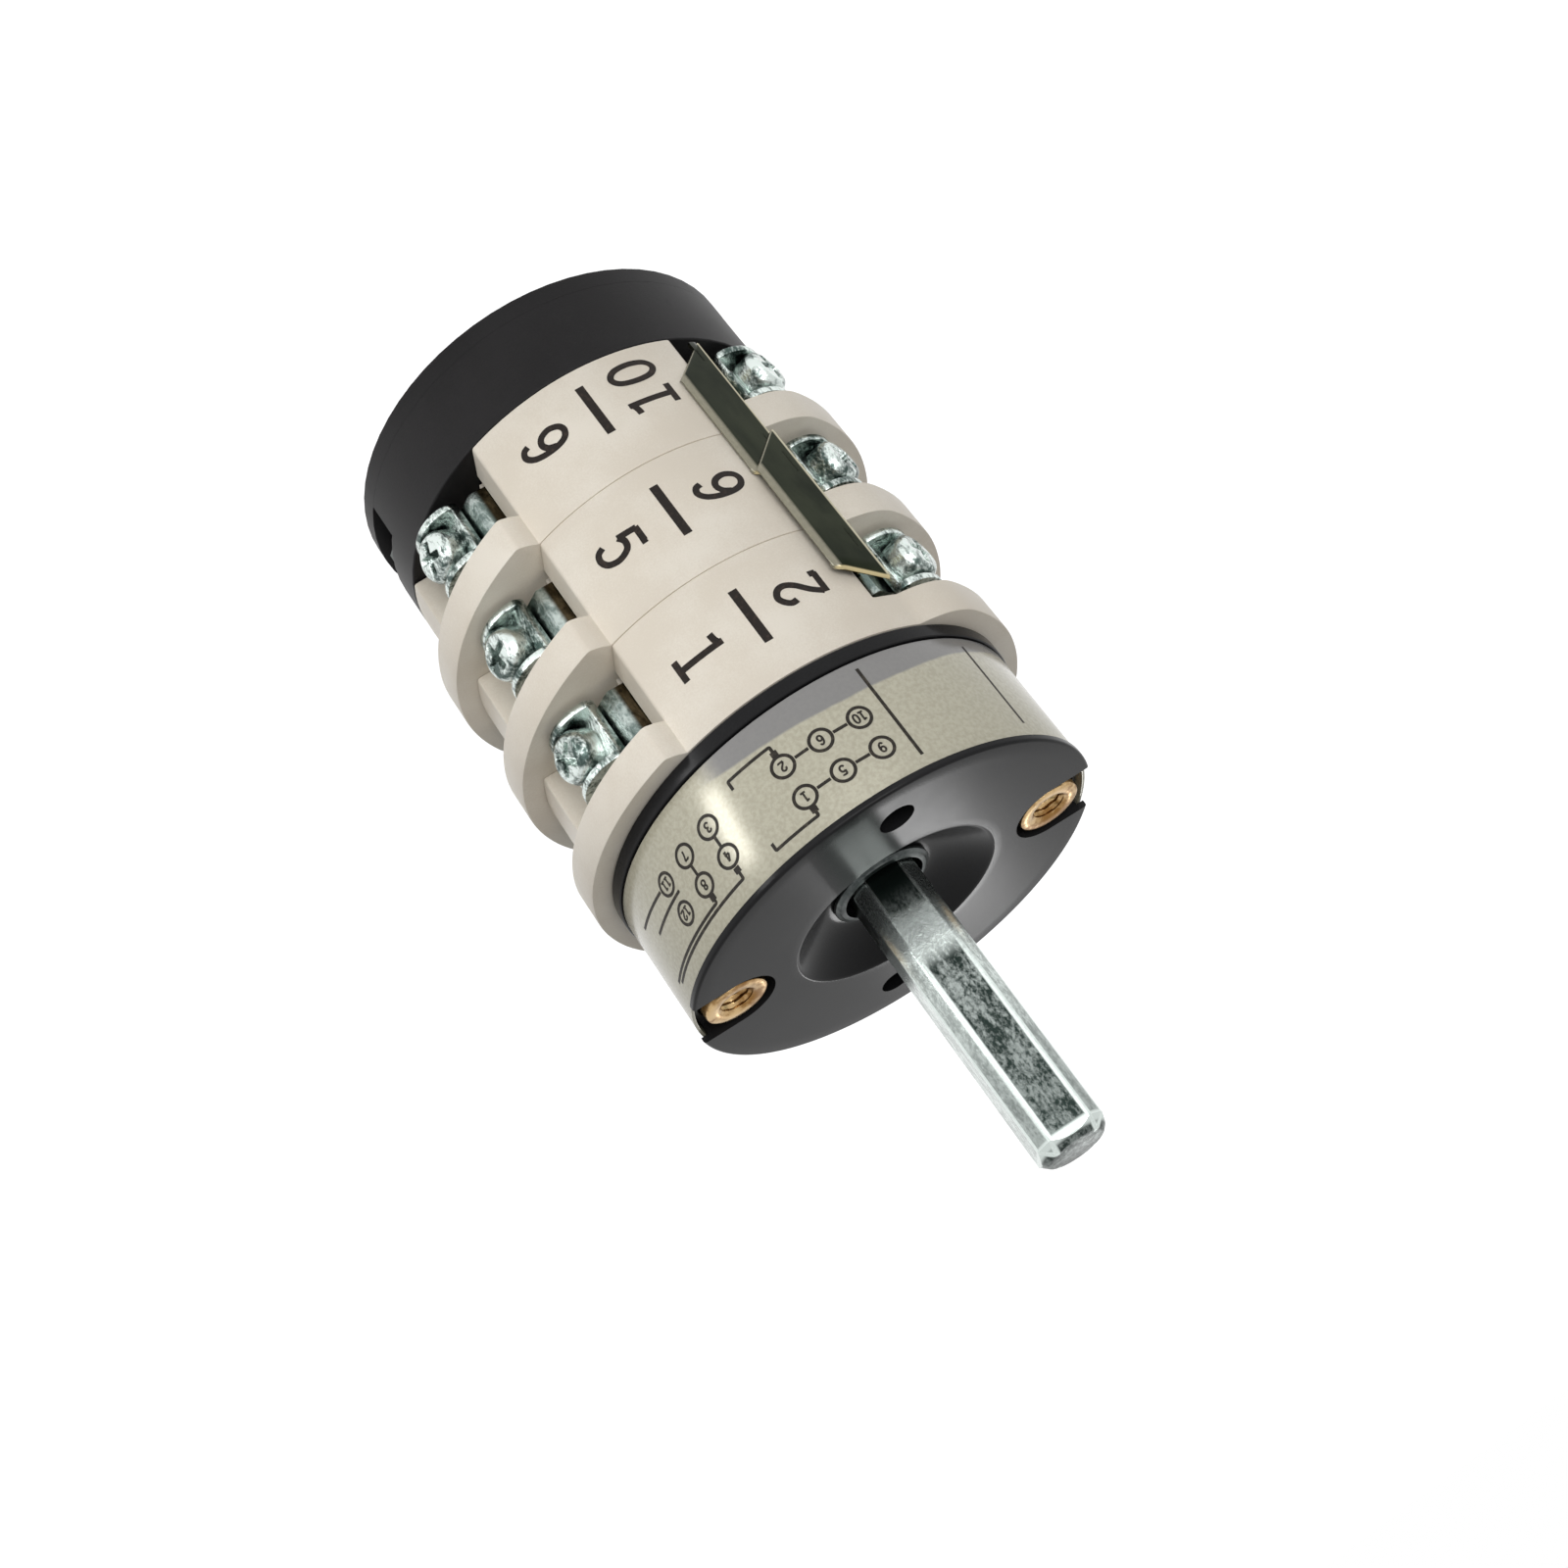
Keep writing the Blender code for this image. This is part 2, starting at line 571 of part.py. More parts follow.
def make_stages():
    """The three stages, one mesh for all."""
    shape = make_stage_mesh()
    for stage in range(1, STAGE_COUNT + 1):
        copy_at(f"stage_body_{stage}", shape.data, 0.0, stage_base(stage))
    bpy.data.objects.remove(shape, do_unlink=True)


def cam_outline():
    """A two sided spiral: its radius grows evenly with the angle away from +X."""
    outline = []
    lift_per_degree = CAM_LIFT / TURN_LIMIT
    lowest = CAM_MEAN_RADIUS - CAM_LIFT
    highest = CAM_MEAN_RADIUS + CAM_LIFT
    for index in range(ROUND_STEPS // 2 + 16):
        degrees = -180.0 + 360.0 * index / (ROUND_STEPS // 2 + 16)
        radius = CAM_MEAN_RADIUS + lift_per_degree * (abs(degrees) - 90.0)
        outline.append(polar(min(max(radius, lowest), highest), degrees))
    return outline


def make_cams():
    """A cam in each stage, whose hub reaches through the flange to the next cam."""
    bottom = GAP
    shape = plate("cam_shape", cam_outline(), bottom, bottom + CAM_THICKNESS, NATURAL)
    hub = rod("cam_hub", HUB_RADIUS, bottom + CAM_THICKNESS / 2, STAGE_PITCH, (0.0, 0.0), NATURAL,
              MEDIUM_STEPS)
    combine(shape, hub, "UNION")
    combine(shape, plate("cam_square", shaft_outline(GAP), -CUT, STAGE_PITCH + CUT, NATURAL), "DIFFERENCE")
    shape = applied(shape, NATURAL)
    for stage in range(1, STAGE_COUNT + 1):
        copy_at(f"cam_{stage}", shape.data, 0.0, stage_base(stage))
    bpy.data.objects.remove(shape, do_unlink=True)


def terminal_path():
    """Middle line of the terminal strip at +X, -Y: the plate under the screw, then in through the wall."""
    along = polar(1.0, 90.0 - TERMINAL_ANGLE)
    middle = polar(TERMINAL_RADIUS, -TERMINAL_ANGLE)
    outer_end = (middle[0] + along[0] * TERMINAL_PLATE_HALF, middle[1] + along[1] * TERMINAL_PLATE_HALF)
    inner_end = (middle[0] - along[0] * TERMINAL_PLATE_HALF, middle[1] - along[1] * TERMINAL_PLATE_HALF)
    wall = (BLOCK_EDGE_X + BLOCK_WALL_FLARE + TERMINAL_BEND, -CONTACT_LINE)
    tip = (CONTACT_CHAMBER_HALF_LENGTH - CONTACT_OVERLAP, -CONTACT_LINE)
    return [outer_end, inner_end, wall, tip]


def make_terminals():
    """Twelve fixed contacts. Terminals 2 and 4 mirror 1 and 3."""
    strip = ribbon(terminal_path(), TERMINAL_STRIP)
    bottom = TERMINAL_HEIGHT - TERMINAL_WIDTH / 2
    shapes = []
    for outline, degrees in ((strip, -TERMINAL_ANGLE), (mirror_x(strip), 180.0 + TERMINAL_ANGLE)):
        shape = plate("terminal_shape", outline, bottom, bottom + TERMINAL_WIDTH, TINNED)
        hole = radial_rod("terminal_hole", SCREW_RADIUS + GAP, TERMINAL_RADIUS - TERMINAL_STRIP / 2 - CUT,
                          TERMINAL_RADIUS + TERMINAL_STRIP / 2 + CUT, degrees, TERMINAL_HEIGHT, TINNED)
        combine(shape, hole, "DIFFERENCE")
        shapes.append(applied(shape, TINNED))
    for stage in range(1, STAGE_COUNT + 1):
        for place, (shape, turn) in enumerate([(0, 0.0), (1, 0.0), (0, 180.0), (1, 180.0)]):
            number = 4 * (stage - 1) + place + 1
            copy_at(f"terminal_{number}", shapes[shape].data, turn, stage_base(stage))
    for shape in shapes:
        bpy.data.objects.remove(shape, do_unlink=True)


def make_screws():
    """Twelve terminal screws, each with the saddle clamp that it carries."""
    seat = TERMINAL_RADIUS + TERMINAL_STRIP / 2 + GAP
    under_head = seat + CLAMP_BASE
    top = under_head + SCREW_HEAD_HEIGHT
    tail = seat - SCREW_TAIL - GAP - TERMINAL_STRIP
    profile = [
        (0.0, top), (SCREW_HEAD_RADIUS * 0.6, top - SCREW_HEAD_ROUND * 0.2),
        (SCREW_HEAD_RADIUS, top - SCREW_HEAD_ROUND), (SCREW_HEAD_RADIUS, under_head - CLAMP_BASE * 0.1),
        (SCREW_RADIUS, under_head - CLAMP_BASE * 0.1), (SCREW_RADIUS, tail),
        (0.0, tail),
    ]
    side = CLAMP_HALF_WIDTH
    wall = CLAMP_WALL
    rise = under_head + CLAMP_RISE
    saddle = [
        (seat, -side), (rise, -side), (rise, wall - side), (under_head, wall - side),
        (under_head, side - wall), (rise, side - wall), (rise, side), (seat, side),
    ]
    shape = plate("screw_shape", saddle, -CLAMP_LENGTH / 2, CLAMP_LENGTH / 2, ZINC)
    along = Matrix.Rotation(math.radians(90), 4, "Y")
    crown = rod("crown", CLAMP_CROWN, -side - CUT, side + CUT, (0.0, 0.0), ZINC, MEDIUM_STEPS)
    crown.matrix_world = (Matrix.Translation((rise - CLAMP_CROWN, 0.0, 0.0))
                          @ Matrix.Rotation(math.radians(90), 4, "X"))
    combine(shape, crown, "INTERSECT")
    combine(shape, turned("screw_body", profile, ZINC, SMALL_STEPS, matrix=along), "UNION")
    shape = applied(shape, ZINC)
    for stage in range(1, STAGE_COUNT + 1):
        for place, degrees in enumerate((-TERMINAL_ANGLE, 180.0 + TERMINAL_ANGLE,
                                         180.0 - TERMINAL_ANGLE, TERMINAL_ANGLE)):
            number = 4 * (stage - 1) + place + 1
            copy_at(f"terminal_screw_{number}", shape.data, degrees, stage_base(stage) + TERMINAL_HEIGHT)
    bpy.data.objects.remove(shape, do_unlink=True)


def make_moving_contacts():
    """In each stage a plunger and a bridge on either side of the cam."""
    half = CONTACT_CHAMBER_HALF_LENGTH - 2 * GAP
    bar = [(-half, -BRIDGE_INNER - BRIDGE_THICKNESS), (half, -BRIDGE_INNER - BRIDGE_THICKNESS),
           (half, -BRIDGE_INNER), (-half, -BRIDGE_INNER)]
    width = PLUNGER_HALF_WIDTH
    stem_end = BRIDGE_INNER - GAP
    tip = FOLLOWER_REST
    stem = [(-width, -stem_end), (width, -stem_end), (width, -tip - PLUNGER_NOSE), (width * 0.6, -tip),
            (-width * 0.6, -tip), (-width, -tip - PLUNGER_NOSE)]
    for stage in range(1, STAGE_COUNT + 1):
        middle = stage_base(stage) + TERMINAL_HEIGHT
        for number, turn in ((2 * stage - 1, False), (2 * stage, True)):
            bridge = half_turn(bar) if turn else bar
            plunger = half_turn(stem) if turn else stem
            plate(f"contact_bridge_{number}", bridge, middle - BRIDGE_WIDTH / 2,
                  middle + BRIDGE_WIDTH / 2, SILVER)
            plate(f"plunger_{number}", plunger, middle - PLUNGER_WIDTH / 2,
                  middle + PLUNGER_WIDTH / 2, GREY)


def make_link(name, rear_stage, standoff, turn):
    """A strip that joins the terminals of two stages, past the corner of their number blocks.

    Its face lies square to the radius at the corner. At each end a leg reaches in to a terminal.
    """
    corner = 270.0 - BLOCK_HALF_ANGLE
    inner = BLOCK_RADIUS + standoff
    rear = stage_base(rear_stage)
    front = stage_base(rear_stage - 1)
    left = LINK_NUMBER_SIDE
    right = -LINK_TERMINAL_SIDE
    bottom = rear + LINK_REAR_END
    top = front + LINK_FRONT_END
    leg_top = front + LINK_REAR_END + LINK_LEG_WIDTH
    cut = LINK_CORNER_CUT
    outline = [(left, bottom + LINK_REAR_SLANT), (left, top - cut), (left - cut, top)]
    if rear_stage == STAGE_COUNT:
        inset = right + LINK_SHEET + LINK_LEG_CLEARANCE
        outline += [(inset, top + LINK_FRONT_SLANT / 2), (inset, leg_top), (right, leg_top)]
    else:
        outline.append((right, top + LINK_FRONT_SLANT))
    outline.append((right, bottom))
    # The outline is drawn with its second number along the shaft, then stood up on its plane.
    face = plate(name, outline, inner, inner + LINK_SHEET, BRIGHT)
    stand = Matrix(((0.0, 0.0, 1.0), (1.0, 0.0, 0.0), (0.0, 1.0, 0.0))).to_4x4()
    face.data.transform(Matrix.Rotation(math.radians(corner + turn), 4, "Z") @ stand)

    fold_x = inner + LINK_SHEET / 2
    fold_y = right + LINK_SHEET / 2
    out = polar(1.0, corner)
    fold = (out[0] * fold_x - out[1] * fold_y, out[1] * fold_x + out[0] * fold_y)
    foot = (-BLOCK_EDGE_X - BLOCK_WALL_FLARE - LINK_FOOT, -CONTACT_LINE - TERMINAL_STRIP / 2 - GAP)
    leg = ribbon([fold, foot], LINK_SHEET)
    if turn:
        leg = half_turn(leg)
    rear_leg = rear + LINK_REAR_END
    if rear_stage < STAGE_COUNT:
        rear_leg += LINK_LEG_WIDTH + GAP
    for start in (rear_leg, front + LINK_REAR_END):
        combine(face, plate("link_leg", leg, start, start + LINK_LEG_WIDTH, BRIGHT), "UNION")
    applied(face, BRIGHT)


def make_links():
    """Two links on terminals 2, 6 and 10 and two on terminals 4, 8 and 12, each front one over the rear one."""
    for side, turn in (("a", 0.0), ("b", 180.0)):
        for rear_stage in range(2, STAGE_COUNT + 1):
            nearer = STAGE_COUNT - rear_stage
            standoff = LINK_STANDOFF + nearer * (LINK_SHEET + LINK_STACKING)
            make_link(f"link_{side}{rear_stage - 1}", rear_stage, standoff, turn)


def make_head():
    """The black head: label seat, front lip and dish, cavity with two stop lugs."""
    ring_top = HEAD_BASE + RING_HEIGHT
    seat = BLOCK_RADIUS - RIM_STEP - LABEL_THICKNESS - GAP
    head = turned("head", [
        (0.0, FRONT - DISH_DEPTH),
        (DISH_FLOOR_RADIUS, FRONT - DISH_DEPTH),
        (DISH_RADIUS, FRONT),
        (BLOCK_RADIUS - LIP_ROUND, FRONT),
        (BLOCK_RADIUS, FRONT - LIP_ROUND),
        (BLOCK_RADIUS, FRONT - LIP_HEIGHT),
        (seat, FRONT - LIP_HEIGHT),
        (seat, ring_top),
        (BLOCK_RADIUS, ring_top),
        (BLOCK_RADIUS, HEAD_BASE),
        (0.0, HEAD_BASE),
    ], BLACK)
    lug = STOP_LUG_HALF_ANGLE
    lug_radius = STOP_DISC_ROOT + GAP
    right = arc(HEAD_CAVITY_RADIUS, -90.0 + lug, 90.0 - lug, 9.0)
    upper = arc(lug_radius, 90.0 - lug, 90.0 + lug, 8.0)
    cavity = right + upper + half_turn(right) + half_turn(upper)
    cavity_top = FRONT - HEAD_FLOOR
    combine(head, plate("head_cavity", cavity, HEAD_BASE - CUT, cavity_top, BLACK), "DIFFERENCE")
    combine(head, rod("shaft_hole", SHAFT_BAR_RADIUS + GAP, cavity_top - CUT, FRONT, (0.0, 0.0), BLACK,
                      MEDIUM_STEPS), "DIFFERENCE")
    for side in (1, -1):
        centre = (side * INSERT_CIRCLE, 0.0)
        turn = 90.0 if side > 0 else -90.0
        mouth = arc(SLOT_RADIUS, turn, turn + 180.0, 15.0, centre)
        edge = side * (BLOCK_RADIUS + CUT)
        slot = mouth + [(edge, -side * SLOT_RADIUS), (edge, side * SLOT_RADIUS)]
        combine(head, plate("insert_slot", slot, FRONT - SLOT_DEPTH, FRONT + CUT, BLACK), "DIFFERENCE")
        insert_base = FRONT - INSERT_SINK - INSERT_LENGTH - GAP
        combine(head, rod("insert_seat", INSERT_RADIUS + GAP, insert_base, FRONT, centre, BLACK, 16), "DIFFERENCE")
        combine(head, rod("tie_hole", TIE_BOLT_RADIUS + GAP, HEAD_BASE - CUT, insert_base + CUT, centre, BLACK),
                "DIFFERENCE")
        combine(head, rod("rivet_hole", RIVET_HOLE_RADIUS, FRONT - RIVET_HOLE_DEPTH, FRONT + CUT,
                          polar(side * RIVET_HOLE_CIRCLE, RIVET_HOLE_ANGLE), BLACK), "DIFFERENCE")
    applied(head, BLACK)


def make_label_and_washer():
    """The band round the head and the steel washer round the shaft in the dish."""
    outer = BLOCK_RADIUS - RIM_STEP
    inner = outer - LABEL_THICKNESS
    bottom = HEAD_BASE + RING_HEIGHT + GAP
    top = FRONT - LIP_HEIGHT - GAP
    turned("label_band", [(inner, top), (outer, top), (outer, bottom), (inner, bottom)], FOIL, closed=True)
    low = FRONT - DISH_DEPTH + GAP
    high = low + GUIDE_WASHER_THICKNESS
    bore = SHAFT_BAR_RADIUS + GAP
    rim = DISH_FLOOR_RADIUS - GAP
    turned("guide_washer", [(bore, high), (rim, high), (rim, low), (bore, low)], STEEL, MEDIUM_STEPS, closed=True)


def make_stop_disc():
    """The disc in the head whose wings meet the stop lugs at each end of the turn."""
    wing = 90.0 - STOP_LUG_HALF_ANGLE - TURN_LIMIT - STOP_CLEARANCE_ANGLE
    outline = []
    for turn in (0.0, 180.0):
        outline += arc(STOP_DISC_RADIUS, turn - wing, turn + wing, 8.0)
        outline += arc(STOP_DISC_ROOT, turn + wing, turn + 180.0 - wing, 12.0)
    bottom = HEAD_BASE + 2 * GAP
    disc = plate("stop_disc", outline, bottom, bottom + STOP_DISC_THICKNESS, NATURAL)
    hub_top = FRONT - HEAD_FLOOR - GAP
    hub = rod("stop_hub", HUB_RADIUS, bottom + STOP_DISC_THICKNESS / 2, hub_top, (0.0, 0.0), NATURAL,
              MEDIUM_STEPS)
    combine(disc, hub, "UNION")
    combine(disc, plate("disc_square", shaft_outline(GAP), bottom - CUT, hub_top + CUT, NATURAL), "DIFFERENCE")
    applied(disc, NATURAL)


def make_fixings():
    """Brass inserts in the head and the bolts that tie drum, stages and head together."""
    top = FRONT - INSERT_SINK
    bottom = top - INSERT_LENGTH
    bevel = INSERT_BEVEL
    for number, side in ((1, 1), (2, -1)):
        place = Matrix.Translation((side * INSERT_CIRCLE, 0.0, 0.0))
        turned(f"brass_insert_{number}", [
            (INSERT_BORE + bevel, top), (INSERT_RADIUS - bevel, top), (INSERT_RADIUS, top - bevel),
            (INSERT_RADIUS, bottom), (INSERT_BORE, bottom), (INSERT_BORE, top - bevel),
        ], BRASS, 16, closed=True, matrix=place)
        head_top = COVER_THICKNESS + BOLT_POCKET_HEIGHT
        bolt_end = bottom - GAP - GAP
        centre = (side * INSERT_CIRCLE, 0.0)
        bolt = rod(f"tie_bolt_{number}", TIE_BOLT_RADIUS, head_top - GAP, bolt_end, centre, ZINC)
        hexagon = circle(TIE_BOLT_CORNER, 6, centre)
        head = plate("bolt_head", hexagon, head_top - TIE_BOLT_HEAD, head_top, ZINC)
        combine(bolt, head, "UNION")
        applied(bolt, ZINC)


clear_scene()
SWITCH = new_collection("tire_changer_switch")
CUTTERS = new_collection("cutters")

CREAM = material("cream_plastic", srgb(229, 223, 211), 0.42)
BLACK = material("black_plastic", srgb(58, 56, 59), 0.38)
STEEL = material("zinc_plated_steel", srgb(168, 176, 172), 0.34, 1.0)
ZINC = material("bright_zinc", srgb(186, 198, 194), 0.25, 1.0)
BRASS = material("brass", srgb(214, 178, 122), 0.3, 1.0)
TINNED = material("tinned_copper", srgb(196, 190, 178), 0.35, 1.0)
SILVER = material("silvered_contact", srgb(214, 214, 210), 0.3, 1.0)
BRIGHT = material("nickel_strip", srgb(170, 170, 152), 0.18, 1.0)
FOIL = material("label_foil", srgb(214, 212, 202), 0.3)
NATURAL = material("natural_plastic", srgb(235, 232, 220), 0.5)
GREY = material("grey_plastic", srgb(120, 122, 124), 0.5)
SPRING_STEEL = material("spring_steel", srgb(150, 150, 150), 0.35, 1.0)

make_cover()
make_drum()
make_return()
make_stages()
make_cams()
make_terminals()
make_screws()
make_moving_contacts()
make_links()
make_head()
make_label_and_washer()
make_stop_disc()
make_fixings()
make_shaft()
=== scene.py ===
"""Looks of the tire changer switch: cream stages, black drum and head, plated screws, square shaft."""
import logging
import math
from dataclasses import dataclass
from enum import Enum
from typing import Any, ClassVar

import bmesh
import bpy
import numpy as np
from mathutils import Matrix, Vector


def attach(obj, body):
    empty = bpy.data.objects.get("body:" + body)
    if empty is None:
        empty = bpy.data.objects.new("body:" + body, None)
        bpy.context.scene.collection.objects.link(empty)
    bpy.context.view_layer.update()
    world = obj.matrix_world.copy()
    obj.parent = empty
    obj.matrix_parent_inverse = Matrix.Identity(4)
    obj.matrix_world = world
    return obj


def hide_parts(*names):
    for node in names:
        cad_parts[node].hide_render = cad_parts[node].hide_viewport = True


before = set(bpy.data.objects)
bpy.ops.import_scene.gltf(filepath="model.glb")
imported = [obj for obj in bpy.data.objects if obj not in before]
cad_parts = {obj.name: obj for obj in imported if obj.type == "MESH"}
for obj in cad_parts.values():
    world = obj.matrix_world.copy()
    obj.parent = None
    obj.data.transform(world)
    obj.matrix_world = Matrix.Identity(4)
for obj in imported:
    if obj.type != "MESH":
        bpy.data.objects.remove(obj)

MM = 0.001
FULL = 2 * math.pi
HALVES = (0.0, 180.0)
# Angles in degrees past which an edge isn't shaded smooth, for mouldings, metal and print.
MOULDED, METAL, PRINTED = 30.0, 34.0, 60.0
WHITE = (1.0, 1.0, 1.0, 1.0)
LOG = logging.getLogger("switch")
Triple = tuple[float, float, float]


def eased(points: np.ndarray, reach: float | np.ndarray, closed: bool = True, steps: int = 4) -> np.ndarray:
    """Rounds the corners of an outline.

    Each corner C becomes the parabola (1-t)^2 A + 2t(1-t) C + t^2 B between the points A and B that lie
    at the given reach before and after it.

    Args:
        points: Corners, one per row.
        reach: How far from a corner its round begins, one for all or one each.
        closed: Whether the last corner joins the first.
        steps: Points kept for each round, less one.

    Returns:
        The rounded outline.
    """
    corners = np.asarray(points, float)
    before, after = np.roll(corners, 1, 0) - corners, np.roll(corners, -1, 0) - corners
    back, ahead = np.linalg.norm(before, axis=1), np.linalg.norm(after, axis=1)
    cut = np.minimum(np.broadcast_to(reach, len(corners)), 0.45 * np.minimum(back, ahead))
    if not closed:
        cut = cut * (np.arange(len(corners)) % (len(corners) - 1) > 0)
    start = corners + before / np.maximum(back, 1e-12)[:, None] * cut[:, None]
    end = corners + after / np.maximum(ahead, 1e-12)[:, None] * cut[:, None]
    t = np.linspace(0.0, 1.0, steps + 1)[None, :, None]
    curve = (1 - t) ** 2 * start[:, None] + 2 * t * (1 - t) * corners[:, None] + t ** 2 * end[:, None]
    curve = curve.reshape(-1, corners.shape[1])
    gap = np.linalg.norm(np.diff(curve, axis=0), axis=1)
    return curve[np.concatenate(([True], gap > 1e-9))]


def smooth_line(points: np.ndarray, steps: int, closed: bool) -> np.ndarray:
    """A Catmull-Rom curve: each span is the cubic whose slopes are half the span of its points' neighbours.

    Args:
        points: Points that the curve passes through, one per row.
        steps: Points for each span.
        closed: Whether the curve returns to its start.

    Returns:
        The curve's points.
    """
    p = points
    ring = np.concatenate((p[-1:], p, p[:2])) if closed else np.concatenate((p[:1], p, p[-1:]))
    a, b, c, d = ring[:-3, None], ring[1:-2, None], ring[2:-1, None], ring[3:, None]
    t = np.linspace(0.0, 1.0, steps, endpoint=False)[None, :, None]
    square, cube = 2 * a - 5 * b + 4 * c - d, 3 * b - a - 3 * c + d
    curve = (0.5 * (2 * b + (c - a) * t + square * t ** 2 + cube * t ** 3)).reshape(-1, 2)
    return curve if closed else np.concatenate((curve, p[-1:]))


def arc(radius: float, start: float, end: float, steps: int,
        centre: tuple[float, float] = (0.0, 0.0)) -> np.ndarray:
    """Points (x, y) of an arc from one angle to another, in degrees."""
    angle = np.radians(np.linspace(start, end, steps))
    return np.stack((centre[0] + radius * np.cos(angle), centre[1] + radius * np.sin(angle)), 1)


def box(left: float, low: float, right: float, high: float) -> np.ndarray:
    """The corners of a rectangle, wound anticlockwise."""
    return np.array([(left, low), (right, low), (right, high), (left, high)])


def round_about(steps: int) -> np.ndarray:
    """Even angles once round, in radians."""
    return np.linspace(0.0, FULL, steps, endpoint=False)


def polar(radius: Any, angle: np.ndarray, height: Any) -> np.ndarray:
    """Points (r cos a, r sin a, z), with the three spread to one another's rows and columns."""
    return np.stack(np.broadcast_arrays(radius * np.cos(angle), radius * np.sin(angle), height), -1)


def left_of(along: np.ndarray) -> np.ndarray:
    """Unit vectors a quarter turn to the left of each direction (x, y)."""
    along = along / np.linalg.norm(along, axis=1)[:, None]
    return np.stack((-along[:, 1], along[:, 0]), 1)


def spin(degrees: float) -> Matrix:
    """A turn round the Z axis."""
    return Matrix.Rotation(math.radians(degrees), 4, "Z")


def star_radius(outline: np.ndarray, angles: np.ndarray) -> np.ndarray:
    """Distance from the origin to a star shaped outline along each angle.

    Along a direction e the edge from P to Q is met at P x Q / (e x (Q - P)), x being the cross product.

    Args:
        outline: Points (x, y) wound by growing angle.
        angles: Directions in radians.

    Returns:
        One radius per angle.
    """
    bearing = np.unwrap(np.arctan2(outline[:, 1], outline[:, 0]))
    first = bearing[0]
    place = np.searchsorted(bearing, (angles - first) % FULL + first, side="right") - 1
    p, q = outline[place % len(outline)], outline[(place + 1) % len(outline)]
    across = p[:, 0] * q[:, 1] - p[:, 1] * q[:, 0]
    return across / (np.cos(angles) * (q - p)[:, 1] - np.sin(angles) * (q - p)[:, 0])


def linked(name: str, data: Any) -> bpy.types.Object:
    """A new object in the scene with this data."""
    made = bpy.data.objects.new(name, data)
    bpy.context.scene.collection.objects.link(made)
    return made


def shaded(mesh: bpy.types.Mesh, sharp: float) -> None:
    """Shades a mesh smooth apart from edges past an angle in degrees."""
    mesh.shade_smooth()
    mesh.set_sharp_from_angle(angle=math.radians(sharp))


